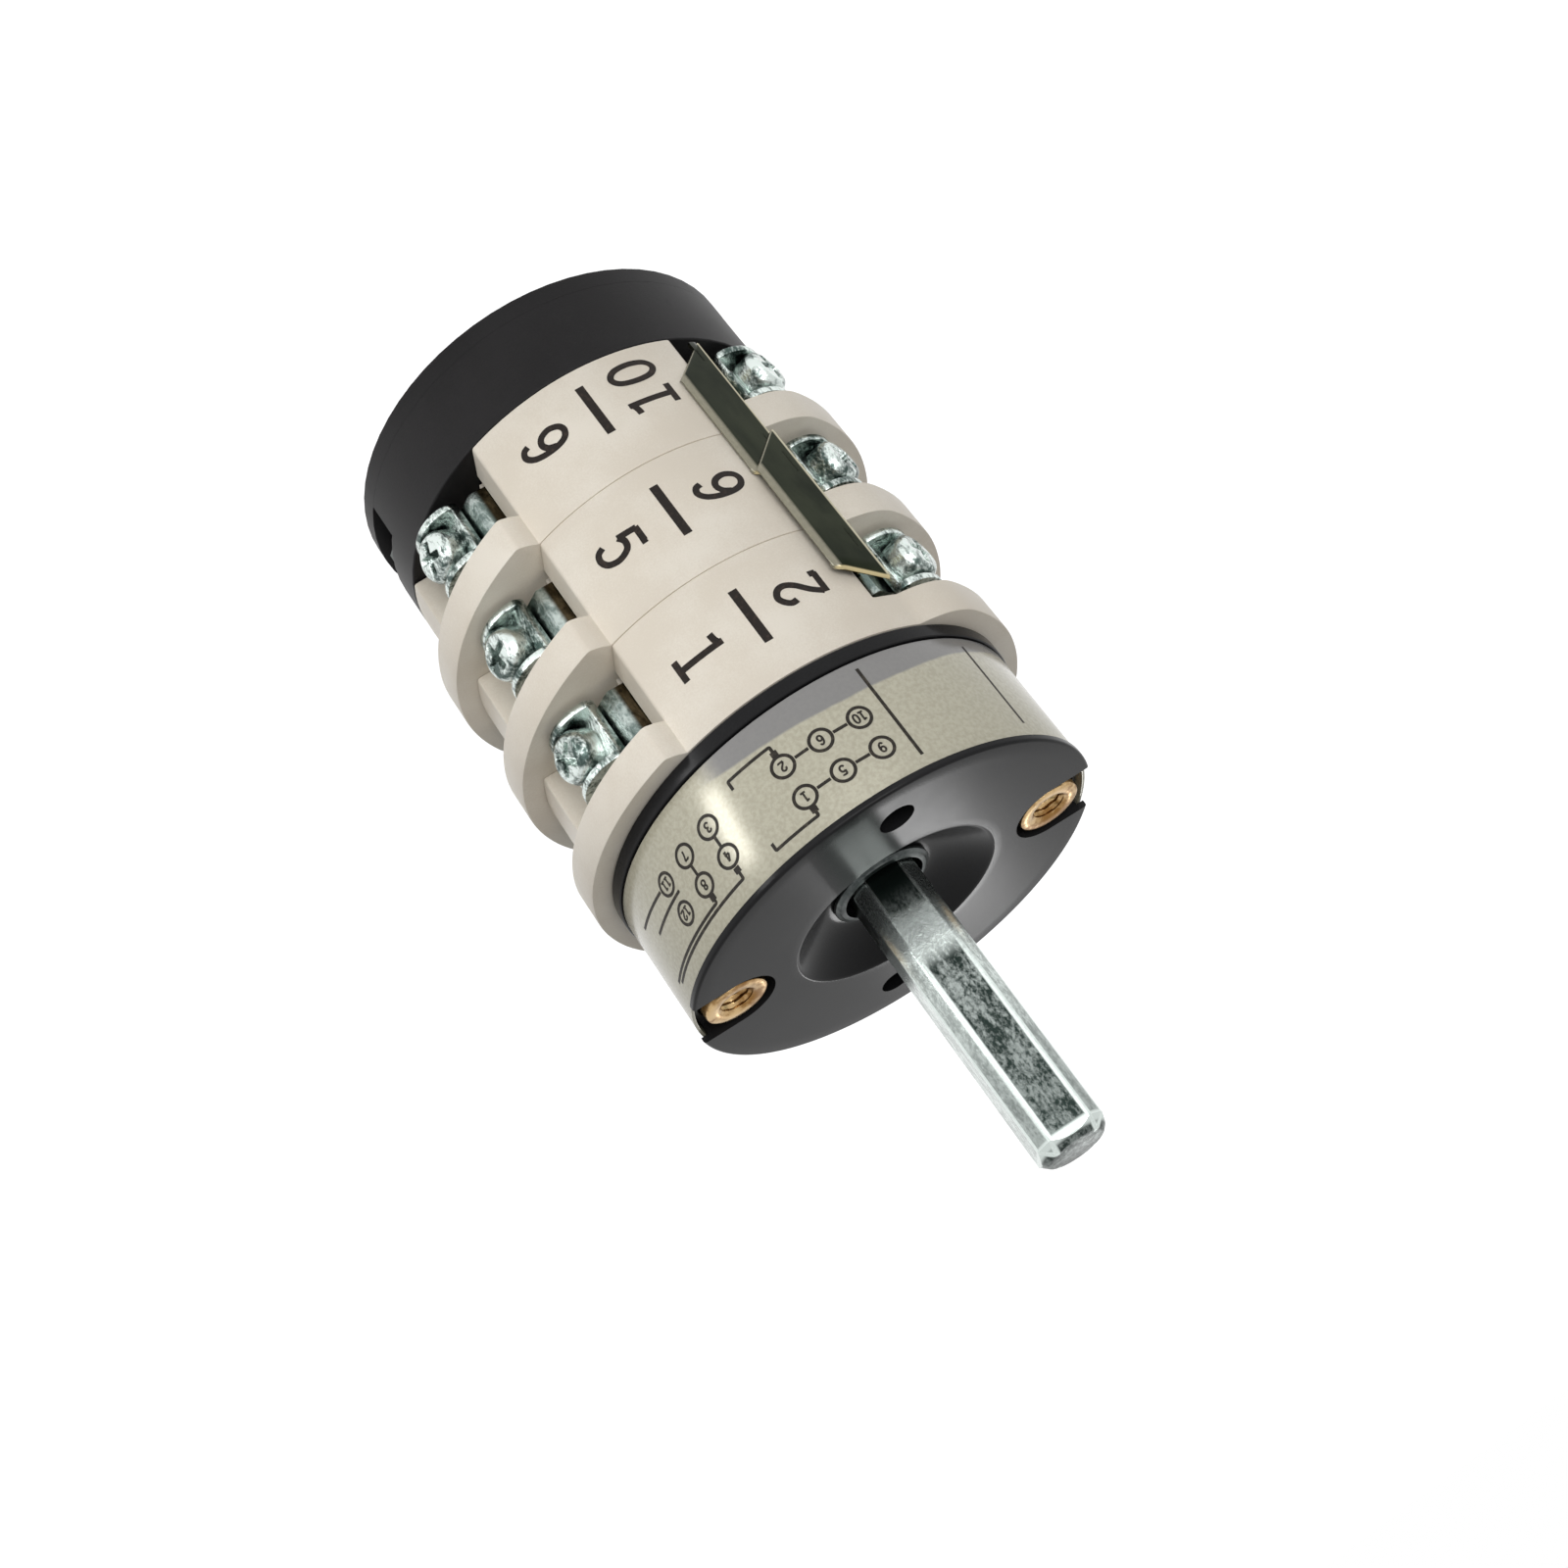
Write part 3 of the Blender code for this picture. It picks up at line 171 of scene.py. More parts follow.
class Shape:
    """Vertices and faces gathered from numpy surfaces, then made one mesh."""

    def __init__(self) -> None:
        """Starts empty."""
        self.points: list[np.ndarray] = []
        self.faces: list[list[int]] = []
        self.count = 0

    def grid(self, points: np.ndarray, wrap_rows: bool = False, caps: bool = False) -> "Shape":
        """Adds a surface given as a grid of points whose last column joins the first.

        Args:
            points: Array of rows, columns and 3 coordinates.
            wrap_rows: Whether the last row joins the first.
            caps: Whether the first and last rows are closed by a face.

        Returns:
            This shape.
        """
        rows, columns = points.shape[:2]
        index = np.arange(rows * columns).reshape(rows, columns) + self.count
        if wrap_rows:
            index = np.concatenate((index, index[:1]))
        index = np.concatenate((index, index[:, :1]), 1)
        quads = np.stack((index[:-1, :-1], index[:-1, 1:], index[1:, 1:], index[1:, :-1]), -1)
        self.faces += quads.reshape(-1, 4).tolist()
        if caps:
            self.faces += [index[0, :columns][::-1].tolist(), index[rows - 1, :columns].tolist()]
        self.points.append(points.reshape(-1, 3))
        self.count += rows * columns
        return self

    def turned(self, profile: np.ndarray, steps: int) -> "Shape":
        """Adds a closed ring: the closed profile (r, z) goes round the Z axis."""
        return self.grid(polar(profile[:, :1], round_about(steps), profile[:, 1:]), wrap_rows=True)

    def prism(self, outline: np.ndarray, bottom: float, top: float, ease: float = 0.0) -> "Shape":
        """Adds an upright prism whose end edges are eased by drawing the outline in along its normals.

        Args:
            outline: Points (x, y) wound anticlockwise.
            bottom: Height of the lower end.
            top: Height of the upper end.
            ease: How far the end edges are rounded.

        Returns:
            This shape.
        """
        inward = left_of(np.roll(outline, -1, 0) - np.roll(outline, 1, 0))
        share = np.array([1.0, 0.3, 0.0]) if ease else np.array([0.0])
        drawn = np.concatenate((share, share[::-1])) * ease
        height = np.concatenate((bottom + share[::-1] * ease, top - share * ease))[:, None, None]
        ring = outline[None] + inward[None] * drawn[:, None, None]
        upright = np.broadcast_to(height, ring.shape[:2] + (1,))
        return self.grid(np.concatenate((ring, upright), -1), caps=True)

    def ribbon(self, path: np.ndarray, width: float, outer: float, depth: float) -> "Shape":
        """Adds an ink stroke on the cylinder round Z.

        A flat stroke point (u, z) with u along the circumference goes to the angle u / radius - 90 degrees.

        Args:
            path: Middle line (u, z) of the stroke.
            width: Width of the stroke.
            outer: Radius of its face.
            depth: Thickness inwards.

        Returns:
            This shape.
        """
        side = left_of(np.gradient(path, axis=0)) * width / 2
        flat = np.stack((path - side, path + side, path + side, path - side), 1)
        radius = np.array([outer, outer, outer - depth, outer - depth])[None, :]
        return self.grid(polar(radius, flat[..., 0] / outer - math.pi / 2, flat[..., 1]), caps=True)

    def placed(self, matrix: Matrix) -> "Shape":
        """Moves everything gathered so far by a matrix."""
        m = np.array(matrix)
        self.points = [points @ m[:3, :3].T + m[:3, 3] for points in self.points]
        return self

    def join(self, other: "Shape") -> "Shape":
        """Adds another shape's surfaces."""
        self.faces += [[corner + self.count for corner in face] for face in other.faces]
        self.points += other.points
        self.count += other.count
        return self

    def made(self, name: str, sharp: float = 38.0, turn_outward: bool = True) -> bpy.types.Object:
        """Makes the object, with its doubles merged and its faces turned outwards.

        Args:
            name: Plain name of the piece.
            sharp: Angle in degrees past which an edge isn't shaded smooth.
            turn_outward: Whether the faces' direction is worked out anew.

        Returns:
            The linked object.
        """
        mesh = bpy.data.meshes.new(name)
        mesh.from_pydata(np.concatenate(self.points).tolist(), [], self.faces)
        work = bmesh.new()
        work.from_mesh(mesh)
        bmesh.ops.remove_doubles(work, verts=work.verts, dist=1e-7)
        if turn_outward:
            bmesh.ops.recalc_face_normals(work, faces=work.faces)
        work.to_mesh(mesh)
        work.free()
        shaded(mesh, sharp)
        return linked(name, mesh)


def cut_away(piece: bpy.types.Object, cutters: list[Shape]) -> bpy.types.Object:
    """Takes the cutters' room out of a piece with exact Booleans and applies them.

    Args:
        piece: The moulding that loses room.
        cutters: Closed shapes, each of parts that lie apart.

    Returns:
        The piece.
    """
    tools = [cutter.made("cutter") for cutter in cutters]
    for cutter in tools:
        modifier = piece.modifiers.new("Cut", "BOOLEAN")
        modifier.solver = "EXACT"
        modifier.object = cutter
    bpy.context.view_layer.update()
    mesh = bpy.data.meshes.new_from_object(piece.evaluated_get(bpy.context.evaluated_depsgraph_get()))
    mesh.name = piece.name
    piece.modifiers.clear()
    piece.data = mesh
    for cutter in tools:
        bpy.data.objects.remove(cutter, do_unlink=True)
    shaded(mesh, MOULDED)
    return piece


class Socket:
    """A number that changes over a surface. Sums and products of it add Math nodes."""

    def __init__(self, graph: "Graph", link: bpy.types.NodeSocket) -> None:
        """Wraps a node's output."""
        self.graph = graph
        self.link = link

    def _maths(self, operation: str, first: Any, second: Any) -> "Socket":
        """One Math node on two numbers or sockets."""
        node = self.graph.node("ShaderNodeMath", {"operation": operation}, {0: first, 1: second})
        return Socket(self.graph, node.outputs[0])

    def __add__(self, other: Any) -> "Socket":
        """Sum."""
        return self._maths("ADD", self, other)

    def __sub__(self, other: Any) -> "Socket":
        """Difference."""
        return self._maths("SUBTRACT", self, other)

    def __rsub__(self, other: Any) -> "Socket":
        """Difference, the other way round."""
        return self._maths("SUBTRACT", other, self)

    def __mul__(self, other: Any) -> "Socket":
        """Product."""
        return self._maths("MULTIPLY", self, other)

    def __abs__(self) -> "Socket":
        """Size without its sign."""
        return self._maths("ABSOLUTE", self, 0.0)

    __radd__ = __add__
    __rmul__ = __mul__

    def most(self, other: Any) -> "Socket":
        """The greater of two."""
        return self._maths("MAXIMUM", self, other)

    def least(self, other: Any) -> "Socket":
        """The smaller of two."""
        return self._maths("MINIMUM", self, other)

    def rise(self, low: float, high: float) -> "Socket":
        """0 below low, 1 above high and an S curve between; high may lie below low."""
        node = self.graph.node("ShaderNodeMapRange", {"interpolation_type": "SMOOTHSTEP"},
                               {0: self, 1: low, 2: high, 3: 0.0, 4: 1.0})
        return Socket(self.graph, node.outputs[0])


def tone(red: float, green: float, blue: float) -> tuple[float, float, float, float]:
    """Linear colour of an 8 bit screen colour."""
    values = [c / 255 for c in (red, green, blue)]
    return (*[c / 12.92 if c <= 0.04045 else ((c + 0.055) / 1.055) ** 2.4 for c in values], 1.0)


class Graph:
    """The nodes of a new material, or of a new world."""

    def __init__(self, name: str, world: bool = False) -> None:
        """Starts with the shader that Blender gives it."""
        self.owner = (bpy.data.worlds if world else bpy.data.materials).new(name)
        self.owner.use_nodes = True
        self.tree = self.owner.node_tree
        self.shader = self.tree.nodes["Background" if world else "Principled BSDF"]
        self.place = None if world else self.node("ShaderNodeTexCoord", {}, {}).outputs

    def node(self, kind: str, settings: dict[str, Any], inputs: dict[Any, Any]) -> bpy.types.Node:
        """Adds a node.

        Args:
            kind: Blender's name of the node's type.
            settings: Properties, set first.
            inputs: Values or links of its sockets by name or number.

        Returns:
            The node.
        """
        made = self.tree.nodes.new(kind)
        for key, value in settings.items():
            setattr(made, key, value)
        for key, value in inputs.items():
            self.feed(made.inputs[key], value)
        return made

    def feed(self, socket: bpy.types.NodeSocket, value: Any) -> None:
        """Links a socket, or sets it to a plain value."""
        if isinstance(value, Socket):
            value = value.link
        if isinstance(value, bpy.types.NodeSocket):
            self.tree.links.new(value, socket)
        else:
            socket.default_value = value

    def axis(self, number: int, of: str = "Object") -> Socket:
        """One coordinate, in the piece's frame, of the surface point in metres or of its normal."""
        split = self.node("ShaderNodeSeparateXYZ", {}, {0: self.place[of]})
        return Socket(self, split.outputs[number])

    def facing(self, number: int) -> Socket:
        """One coordinate of the surface's normal in the piece's frame."""
        return self.axis(number, "Normal")

    def seen(self) -> Socket:
        """1 for rays from the camera, off a gloss or through glass, 0 for those that light a surface."""
        path = self.node("ShaderNodeLightPath", {}, {}).outputs
        kinds = [Socket(self, path[f"Is {kind} Ray"]) for kind in ("Camera", "Glossy", "Transmission")]
        return kinds[0].most(kinds[1]).most(kinds[2])

    def noise(self, scale: float, detail: float = 4.0, stretch: Triple = (1.0, 1.0, 1.0),
              rough: float = 0.55, twist: float = 0.0) -> Socket:
        """Fractal noise of about 0 to 1.

        Args:
            scale: Features per metre.
            detail: Octaves.
            stretch: Factor on each axis.
            rough: Weight of the finer octaves.
            twist: How far the pattern is distorted.

        Returns:
            The noise.
        """
        mapped = self.node("ShaderNodeMapping", {}, {"Vector": self.place["Object"], "Scale": stretch})
        made = self.node("ShaderNodeTexNoise", {}, {
            "Vector": mapped.outputs[0], "Scale": scale, "Detail": detail, "Roughness": rough,
            "Distortion": twist})
        return Socket(self, made.outputs[0])

    def mix(self, share: Any, first: Any, second: Any) -> bpy.types.NodeSocket:
        """A colour between two, by share. Three numbers are an 8 bit screen colour."""
        first, second = (tone(*end) if isinstance(end, tuple) else end for end in (first, second))
        return self.node("ShaderNodeMix", {"data_type": "RGBA"}, {0: share, 6: first, 7: second}).outputs[2]

    def bump(self, height: Socket, depth: float) -> None:
        """Feeds the shader's normal from a height of 0 to 1 that is depth millimetres deep."""
        made = self.node("ShaderNodeBump", {}, {"Height": height, "Distance": depth * MM})
        self.feed(self.shader.inputs["Normal"], made.outputs[0])

    def dress(self, **inputs: Any) -> Any:
        """Sets the shader's sockets, with _ for a blank in a name, and gives the material or world."""
        for key, value in inputs.items():
            self.feed(self.shader.inputs[key.replace("_", " ")], value)
        return self.owner


@dataclass(frozen=True)
class Plastic:
    """Moulded plastic: two close tones in soft clouds, a fine grain and a satin gloss that varies."""

    name: str
    light: Triple
    dark: Triple
    roughness: float
    grain_depth: float = 0.004
    shine: float = 0.5

    def material(self) -> bpy.types.Material:
        """Makes the material."""
        graph = Graph(self.name)
        cloud = graph.noise(90.0, 5.0)
        grain = graph.noise(5200.0, 2.0)
        scuff = graph.noise(900.0, 6.0, (1.0, 1.0, 0.25), 0.7, 0.4)
        colour = graph.mix((cloud + (grain - 0.5) * 0.35).rise(0.34, 0.68), self.dark, self.light)
        graph.bump(grain + scuff * 0.5, self.grain_depth)
        gloss = self.roughness + (cloud - 0.5) * 0.12 + scuff.rise(0.6, 0.75) * 0.06
        return graph.dress(Base_Color=colour, Roughness=gloss, Specular_IOR_Level=self.shine)


@dataclass(frozen=True)
class Plating:
    """Plated metal: patches of lighter and darker reflection, fine pits, and a lustre that varies."""

    name: str
    light: Triple
    dark: Triple
    roughness: float
    patch: float = 380.0
    edge: tuple[float, float] = (0.42, 0.6)
    pit_depth: float = 0.02
    stretch: Triple = (1.0, 1.0, 1.0)

    def material(self) -> bpy.types.Material:
        """Makes the material."""
        graph = Graph(self.name)
        patch = graph.noise(self.patch, 7.0, self.stretch, 0.62, 0.6)
        fleck = graph.noise(self.patch * 6, 4.0, self.stretch, 0.6)
        share = (patch + (fleck - 0.5) * 0.45).rise(*self.edge)
        graph.bump(patch + fleck * 0.5, self.pit_depth)
        gloss = self.roughness + (1 - share) * 0.12 + (fleck - 0.5) * 0.1
        return graph.dress(Base_Color=graph.mix(share, self.dark, self.light), Metallic=1.0, Roughness=gloss)


@dataclass(frozen=True)
class ShaftPlating:
    """Zinc plate on the square bar: painted highlights along the flats' edges, on the rounded corners and on
    the side facing +X, a pale band near the head, dark mottling beyond.
    """

    name: str
    front: float
    tip: float
    turn: float
    edge: float

    def material(self) -> bpy.types.Material:
        """Makes the material."""
        graph = Graph(self.name)
        height = graph.axis(2) - self.front
        across, along = graph.axis(0), graph.axis(1)
        beside = abs(across + along * self.turn).least(abs(along - across * self.turn))
        patch = graph.noise(620.0, 9.0, (1.0, 1.0, 0.5), 0.72, 0.5)
        fleck = graph.noise(3600.0, 4.0, (1.0, 1.0, 0.6), 0.65)
        streak = graph.noise(1700.0, 3.0, (1.0, 1.0, 0.04), 0.5)
        mottle = (patch + (fleck - 0.5) * 0.7 + (streak - 0.5) * 0.25).rise(0.36, 0.68)
        near = height.rise(1.8 * MM, 3.0 * MM) * height.rise(9.0 * MM, 6.2 * MM)
        # Painted highlight: the rounded corners between the flats are made lighter.
        corner = beside.rise(self.edge, self.edge + 0.3 * MM) * (0.45 + mottle * 0.4)
        flats = (mottle * 0.42 * height.rise(-0.5 * MM, 3.0 * MM) + near * 0.85).most(corner)
        flats = flats * (1.0 - height.rise(6.0 * MM, 26.0 * MM) * 0.45)
        # Painted light: the side of the bar that faces +X is made lighter.
        side = graph.facing(0).rise(0.6, 0.9) * (0.45 + mottle * 0.4) * height.rise(1.0 * MM, 5.0 * MM)
        rim = height.rise(self.tip - 1.7 * MM, self.tip - 1.2 * MM)
        rim = rim * height.rise(self.tip - 0.35 * MM, self.tip - 0.75 * MM) * graph.facing(2).rise(0.99, 0.9)
        # Painted highlight: a bright line along both edges of each flat.
        line = abs(beside - self.edge).rise(0.42 * MM, 0.16 * MM) * (0.62 + fleck * 0.5)
        # Random mottling joined with the painted highlights and painted light; it sets colour and roughness.
        mottle_and_painted_sheen = flats.most(side).most(line.most(rim * 0.8)).least(1.0)
        graph.bump(patch + fleck * 0.7 + streak * 0.3, 0.02)
        colour = graph.mix(mottle_and_painted_sheen, (36, 45, 42), (222, 231, 227))
        return graph.dress(Base_Color=colour, Metallic=1.0, Roughness=0.34 - mottle_and_painted_sheen * 0.12)


@dataclass(frozen=True)
class Foil:
    """The label's foil: pale cream with a brushed lustre, and a grey strip along its rear edge."""

    name: str
    rear: float

    def material(self) -> bpy.types.Material:
        """Makes the material; the strip ends where height + waves + 6.8 (x + 3 mm)^2 passes about 3 mm."""
        graph = Graph(self.name)
        height, x = graph.axis(2) - self.rear, graph.axis(0)
        wave = graph.noise(110.0, 3.0, (1.0, 1.0, 0.2))
        speck = graph.noise(2600.0, 3.0)
        brushed = graph.noise(2400.0, 3.0, (0.08, 0.08, 1.0))
        apart = x + 3.0 * MM
        strip = (height + (wave - 0.5) * (0.7 * MM) + apart * apart * 6.8).rise(3.3 * MM, 2.95 * MM)
        strip = strip * x.rise(12.5 * MM, 9.5 * MM) * graph.axis(1).rise(-5.0 * MM, -9.0 * MM)
        paper = graph.mix(speck.rise(0.3, 0.7), (170, 166, 147), (185, 181, 162))
        graph.bump(brushed + wave, 0.006)
        return graph.dress(Base_Color=graph.mix(strip * 0.85, paper, (120, 120, 123)),
                           Roughness=0.18 + speck * 0.05, Metallic=0.14)


@dataclass(frozen=True)
class StripPlating:
    """Nickel strip: a painted dark olive reflection over its face that fades to a pale rolled edge, pale cut
    edges, a gilt end.
    """

    name: str
    angle: float
    radius: float
    number_side: float
    terminal_side: float

    def material(self) -> bpy.types.Material:
        """Makes the material; the place across a strip is its sideways distance from the fold's direction."""
        graph = Graph(self.name)
        cosine, sine = math.cos(self.angle), math.sin(self.angle)
        x, y, up = graph.axis(0), graph.axis(1), graph.facing(2)
        across = (y * cosine - x * sine) * (x * cosine + y * sine) * (1.0 / self.radius)
        cloud = graph.noise(160.0, 4.0, (1.0, 1.0, 0.5), 0.6, 0.5)
        fleck = graph.noise(2600.0, 4.0)
        rolled = across.rise(self.number_side - 0.75 * MM, self.number_side - 0.3 * MM)
        cut = across.rise(0.22 * MM - self.terminal_side, 0.05 * MM - self.terminal_side)
        pale = (rolled * (0.45 + fleck * 0.3)).most(cut).most((0.0 - up).rise(0.25, 0.6) * 0.8)
        gilt = up.rise(0.25, 0.6)
        # Painted reflection: the strip's face is coloured dark olive, as if it mirrored dark surroundings.
        painted_dark_reflection = graph.mix(cloud.rise(0.3, 0.7), (22, 27, 17), (40, 44, 32))
        colour = graph.mix(gilt, graph.mix(pale, painted_dark_reflection, (168, 163, 142)), (206, 190, 144))
        graph.bump(cloud + fleck * 0.3, 0.01)
        return graph.dress(Base_Color=colour, Metallic=1.0 - gilt.most(rolled) * 0.75,
                           Roughness=0.20 + fleck * 0.06)


@dataclass(frozen=True)
class TerminalPlating:
    """Plated terminal strip: crumpled and bright at the screw, with a painted dark brown shadow where it runs
    in beside the block.
    """

    name: str
    slot_end: float

    def material(self) -> bpy.types.Material:
        """Makes the material."""
        graph = Graph(self.name)
        patch = graph.noise(520.0, 6.0, (1.0, 1.0, 0.4), 0.6, 0.8)
        fleck = graph.noise(2200.0, 4.0)
        share = (patch + (fleck - 0.5) * 0.3).rise(0.38, 0.6)
        bright = graph.mix(share, (98, 112, 108), (176, 186, 182))
        # Painted shadow: dark brown tones for the gap between the clamp and the block.
        dark = graph.mix(share, (37, 31, 20), (66, 57, 41))
        painted_gap_shadow = abs(graph.axis(0)).rise(self.slot_end + 0.4 * MM, self.slot_end - 0.2 * MM)
        graph.bump(patch + fleck * 0.3, 0.07)
        return graph.dress(Base_Color=graph.mix(painted_gap_shadow, bright, dark), Metallic=1.0,
                           Roughness=0.18 + fleck * 0.1)


@dataclass(frozen=True)
class Ink:
    """Printing ink, a little uneven."""

    name: str
    colour: Triple

    def material(self) -> bpy.types.Material:
        """Makes the material."""
        graph = Graph(self.name)
        wear = graph.noise(1800.0, 5.0)
        colour = graph.mix(wear.rise(0.5, 0.72), self.colour, tuple(c * 1.5 + 14 for c in self.colour))
        graph.bump(wear, 0.004)
        return graph.dress(Base_Color=colour, Roughness=0.42 + wear * 0.15, Specular_IOR_Level=0.2)


class Look(Enum):
    """Finishes of the switch, each made once."""

    CREAM = Plastic("cream_moulding", (232, 225, 212), (222, 213, 198), 0.42, shine=0.3)
    DRUM = Plastic("charcoal_moulding", (32, 31, 32), (25, 24, 25), 0.46, 0.008, 0.13)
    FACE = Plastic("glossy_charcoal", (37, 37, 38), (30, 30, 31), 0.20, 0.003, 0.09)
    NATURAL = Plastic("natural_nylon", (236, 232, 218), (224, 219, 203), 0.48)
    GREY = Plastic("grey_nylon", (126, 128, 130), (110, 112, 115), 0.48)
    ZINC = Plating("zinc_finish", (205, 214, 210), (66, 80, 76), 0.15, 520.0, (0.36, 0.58), 0.12,
                   (1.0, 1.0, 0.6))
    STEEL = Plating("plated_steel", (92, 96, 95), (54, 58, 58), 0.30, 300.0, (0.3, 0.7))
    STRIP = StripPlating("strip_finish", math.radians(240.0), 23.0 * MM, 2.5 * MM, 2.4 * MM)
    TERMINAL = TerminalPlating("plated_terminal", 12.8 * MM)
    SILVER = Plating("silver_contact", (226, 226, 222), (160, 160, 158), 0.24)
    BRASS = Plating("turned_brass", (200, 170, 124), (134, 98, 54), 0.24, 260.0, (0.35, 0.62), 0.01)
    SPRING = Plating("blued_spring", (150, 152, 156), (84, 88, 94), 0.3)
    INK = Ink("dark_ink", (24, 17, 13))
    FINE_INK = Ink("label_ink", (34, 30, 25))

    def material(self) -> bpy.types.Material:
        """The finish's material, made when first asked for."""
        return bpy.data.materials.get(self.value.name) or self.value.material()


def dress(piece: bpy.types.Object, material: bpy.types.Material) -> bpy.types.Object:
    """Gives a piece one material for all its faces."""
    for slot in piece.material_slots:
        slot.material = material
    if not piece.material_slots:
        piece.data.materials.append(material)
    return piece


def seat(piece: bpy.types.Object, look: Look | bpy.types.Material, body: str,
         node: str = "") -> None:
    """Dresses a piece, ties it to its body and CAD node, and reports it.

    Args:
        piece: The finished piece.
        look: Its finish.
        body: CAD body that it moves with.
        node: CAD node that it replaces, if any.
    """
    dress(piece, look.material() if isinstance(look, Look) else look)
    if node:
        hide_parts(node)
    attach(piece, body)
    LOG.info("%s: %d faces, rides on %s", piece.name, len(piece.data.polygons), body)


@dataclass
class Body:
    """Sizes that several sub-assemblies share, as the CAD has them."""

    drum_height: float = 11.7 * MM
    pitch: float = 13.9 * MM
    head_height: float = 15.2 * MM
    radius: float = 22.8 * MM
    block_half_angle: float = 30.0
    insert_circle: float = 18.0 * MM
    tie_hole: float = 2.1 * MM

    def __post_init__(self) -> None:
        """Works out the heights of the head's two faces, and where a number block's edge stands."""
        self.head_base = self.drum_height + 3 * self.pitch
        self.front = self.head_base + self.head_height
        self.edge_x = self.radius * math.sin(math.radians(self.block_half_angle))
        self.edge_y = self.radius * math.cos(math.radians(self.block_half_angle))

    def stage_base(self, stage: int) -> float:
        """Height of a stage's rear face, counted from the head."""
        return self.head_base - stage * self.pitch

    def side_rods(self, radius: float, circle: float, bottom: float, top: float,
                  degrees: float = 0.0) -> Shape:
        """Two upright cylinders on opposite sides, for cutting."""
        rods = Shape()
        for half in HALVES:
            turn = math.radians(degrees + half)
            centre = (circle * math.cos(turn), circle * math.sin(turn))
            rods.prism(arc(radius, 0.0, 360.0, 41, centre)[:-1], bottom, top)
        return rods


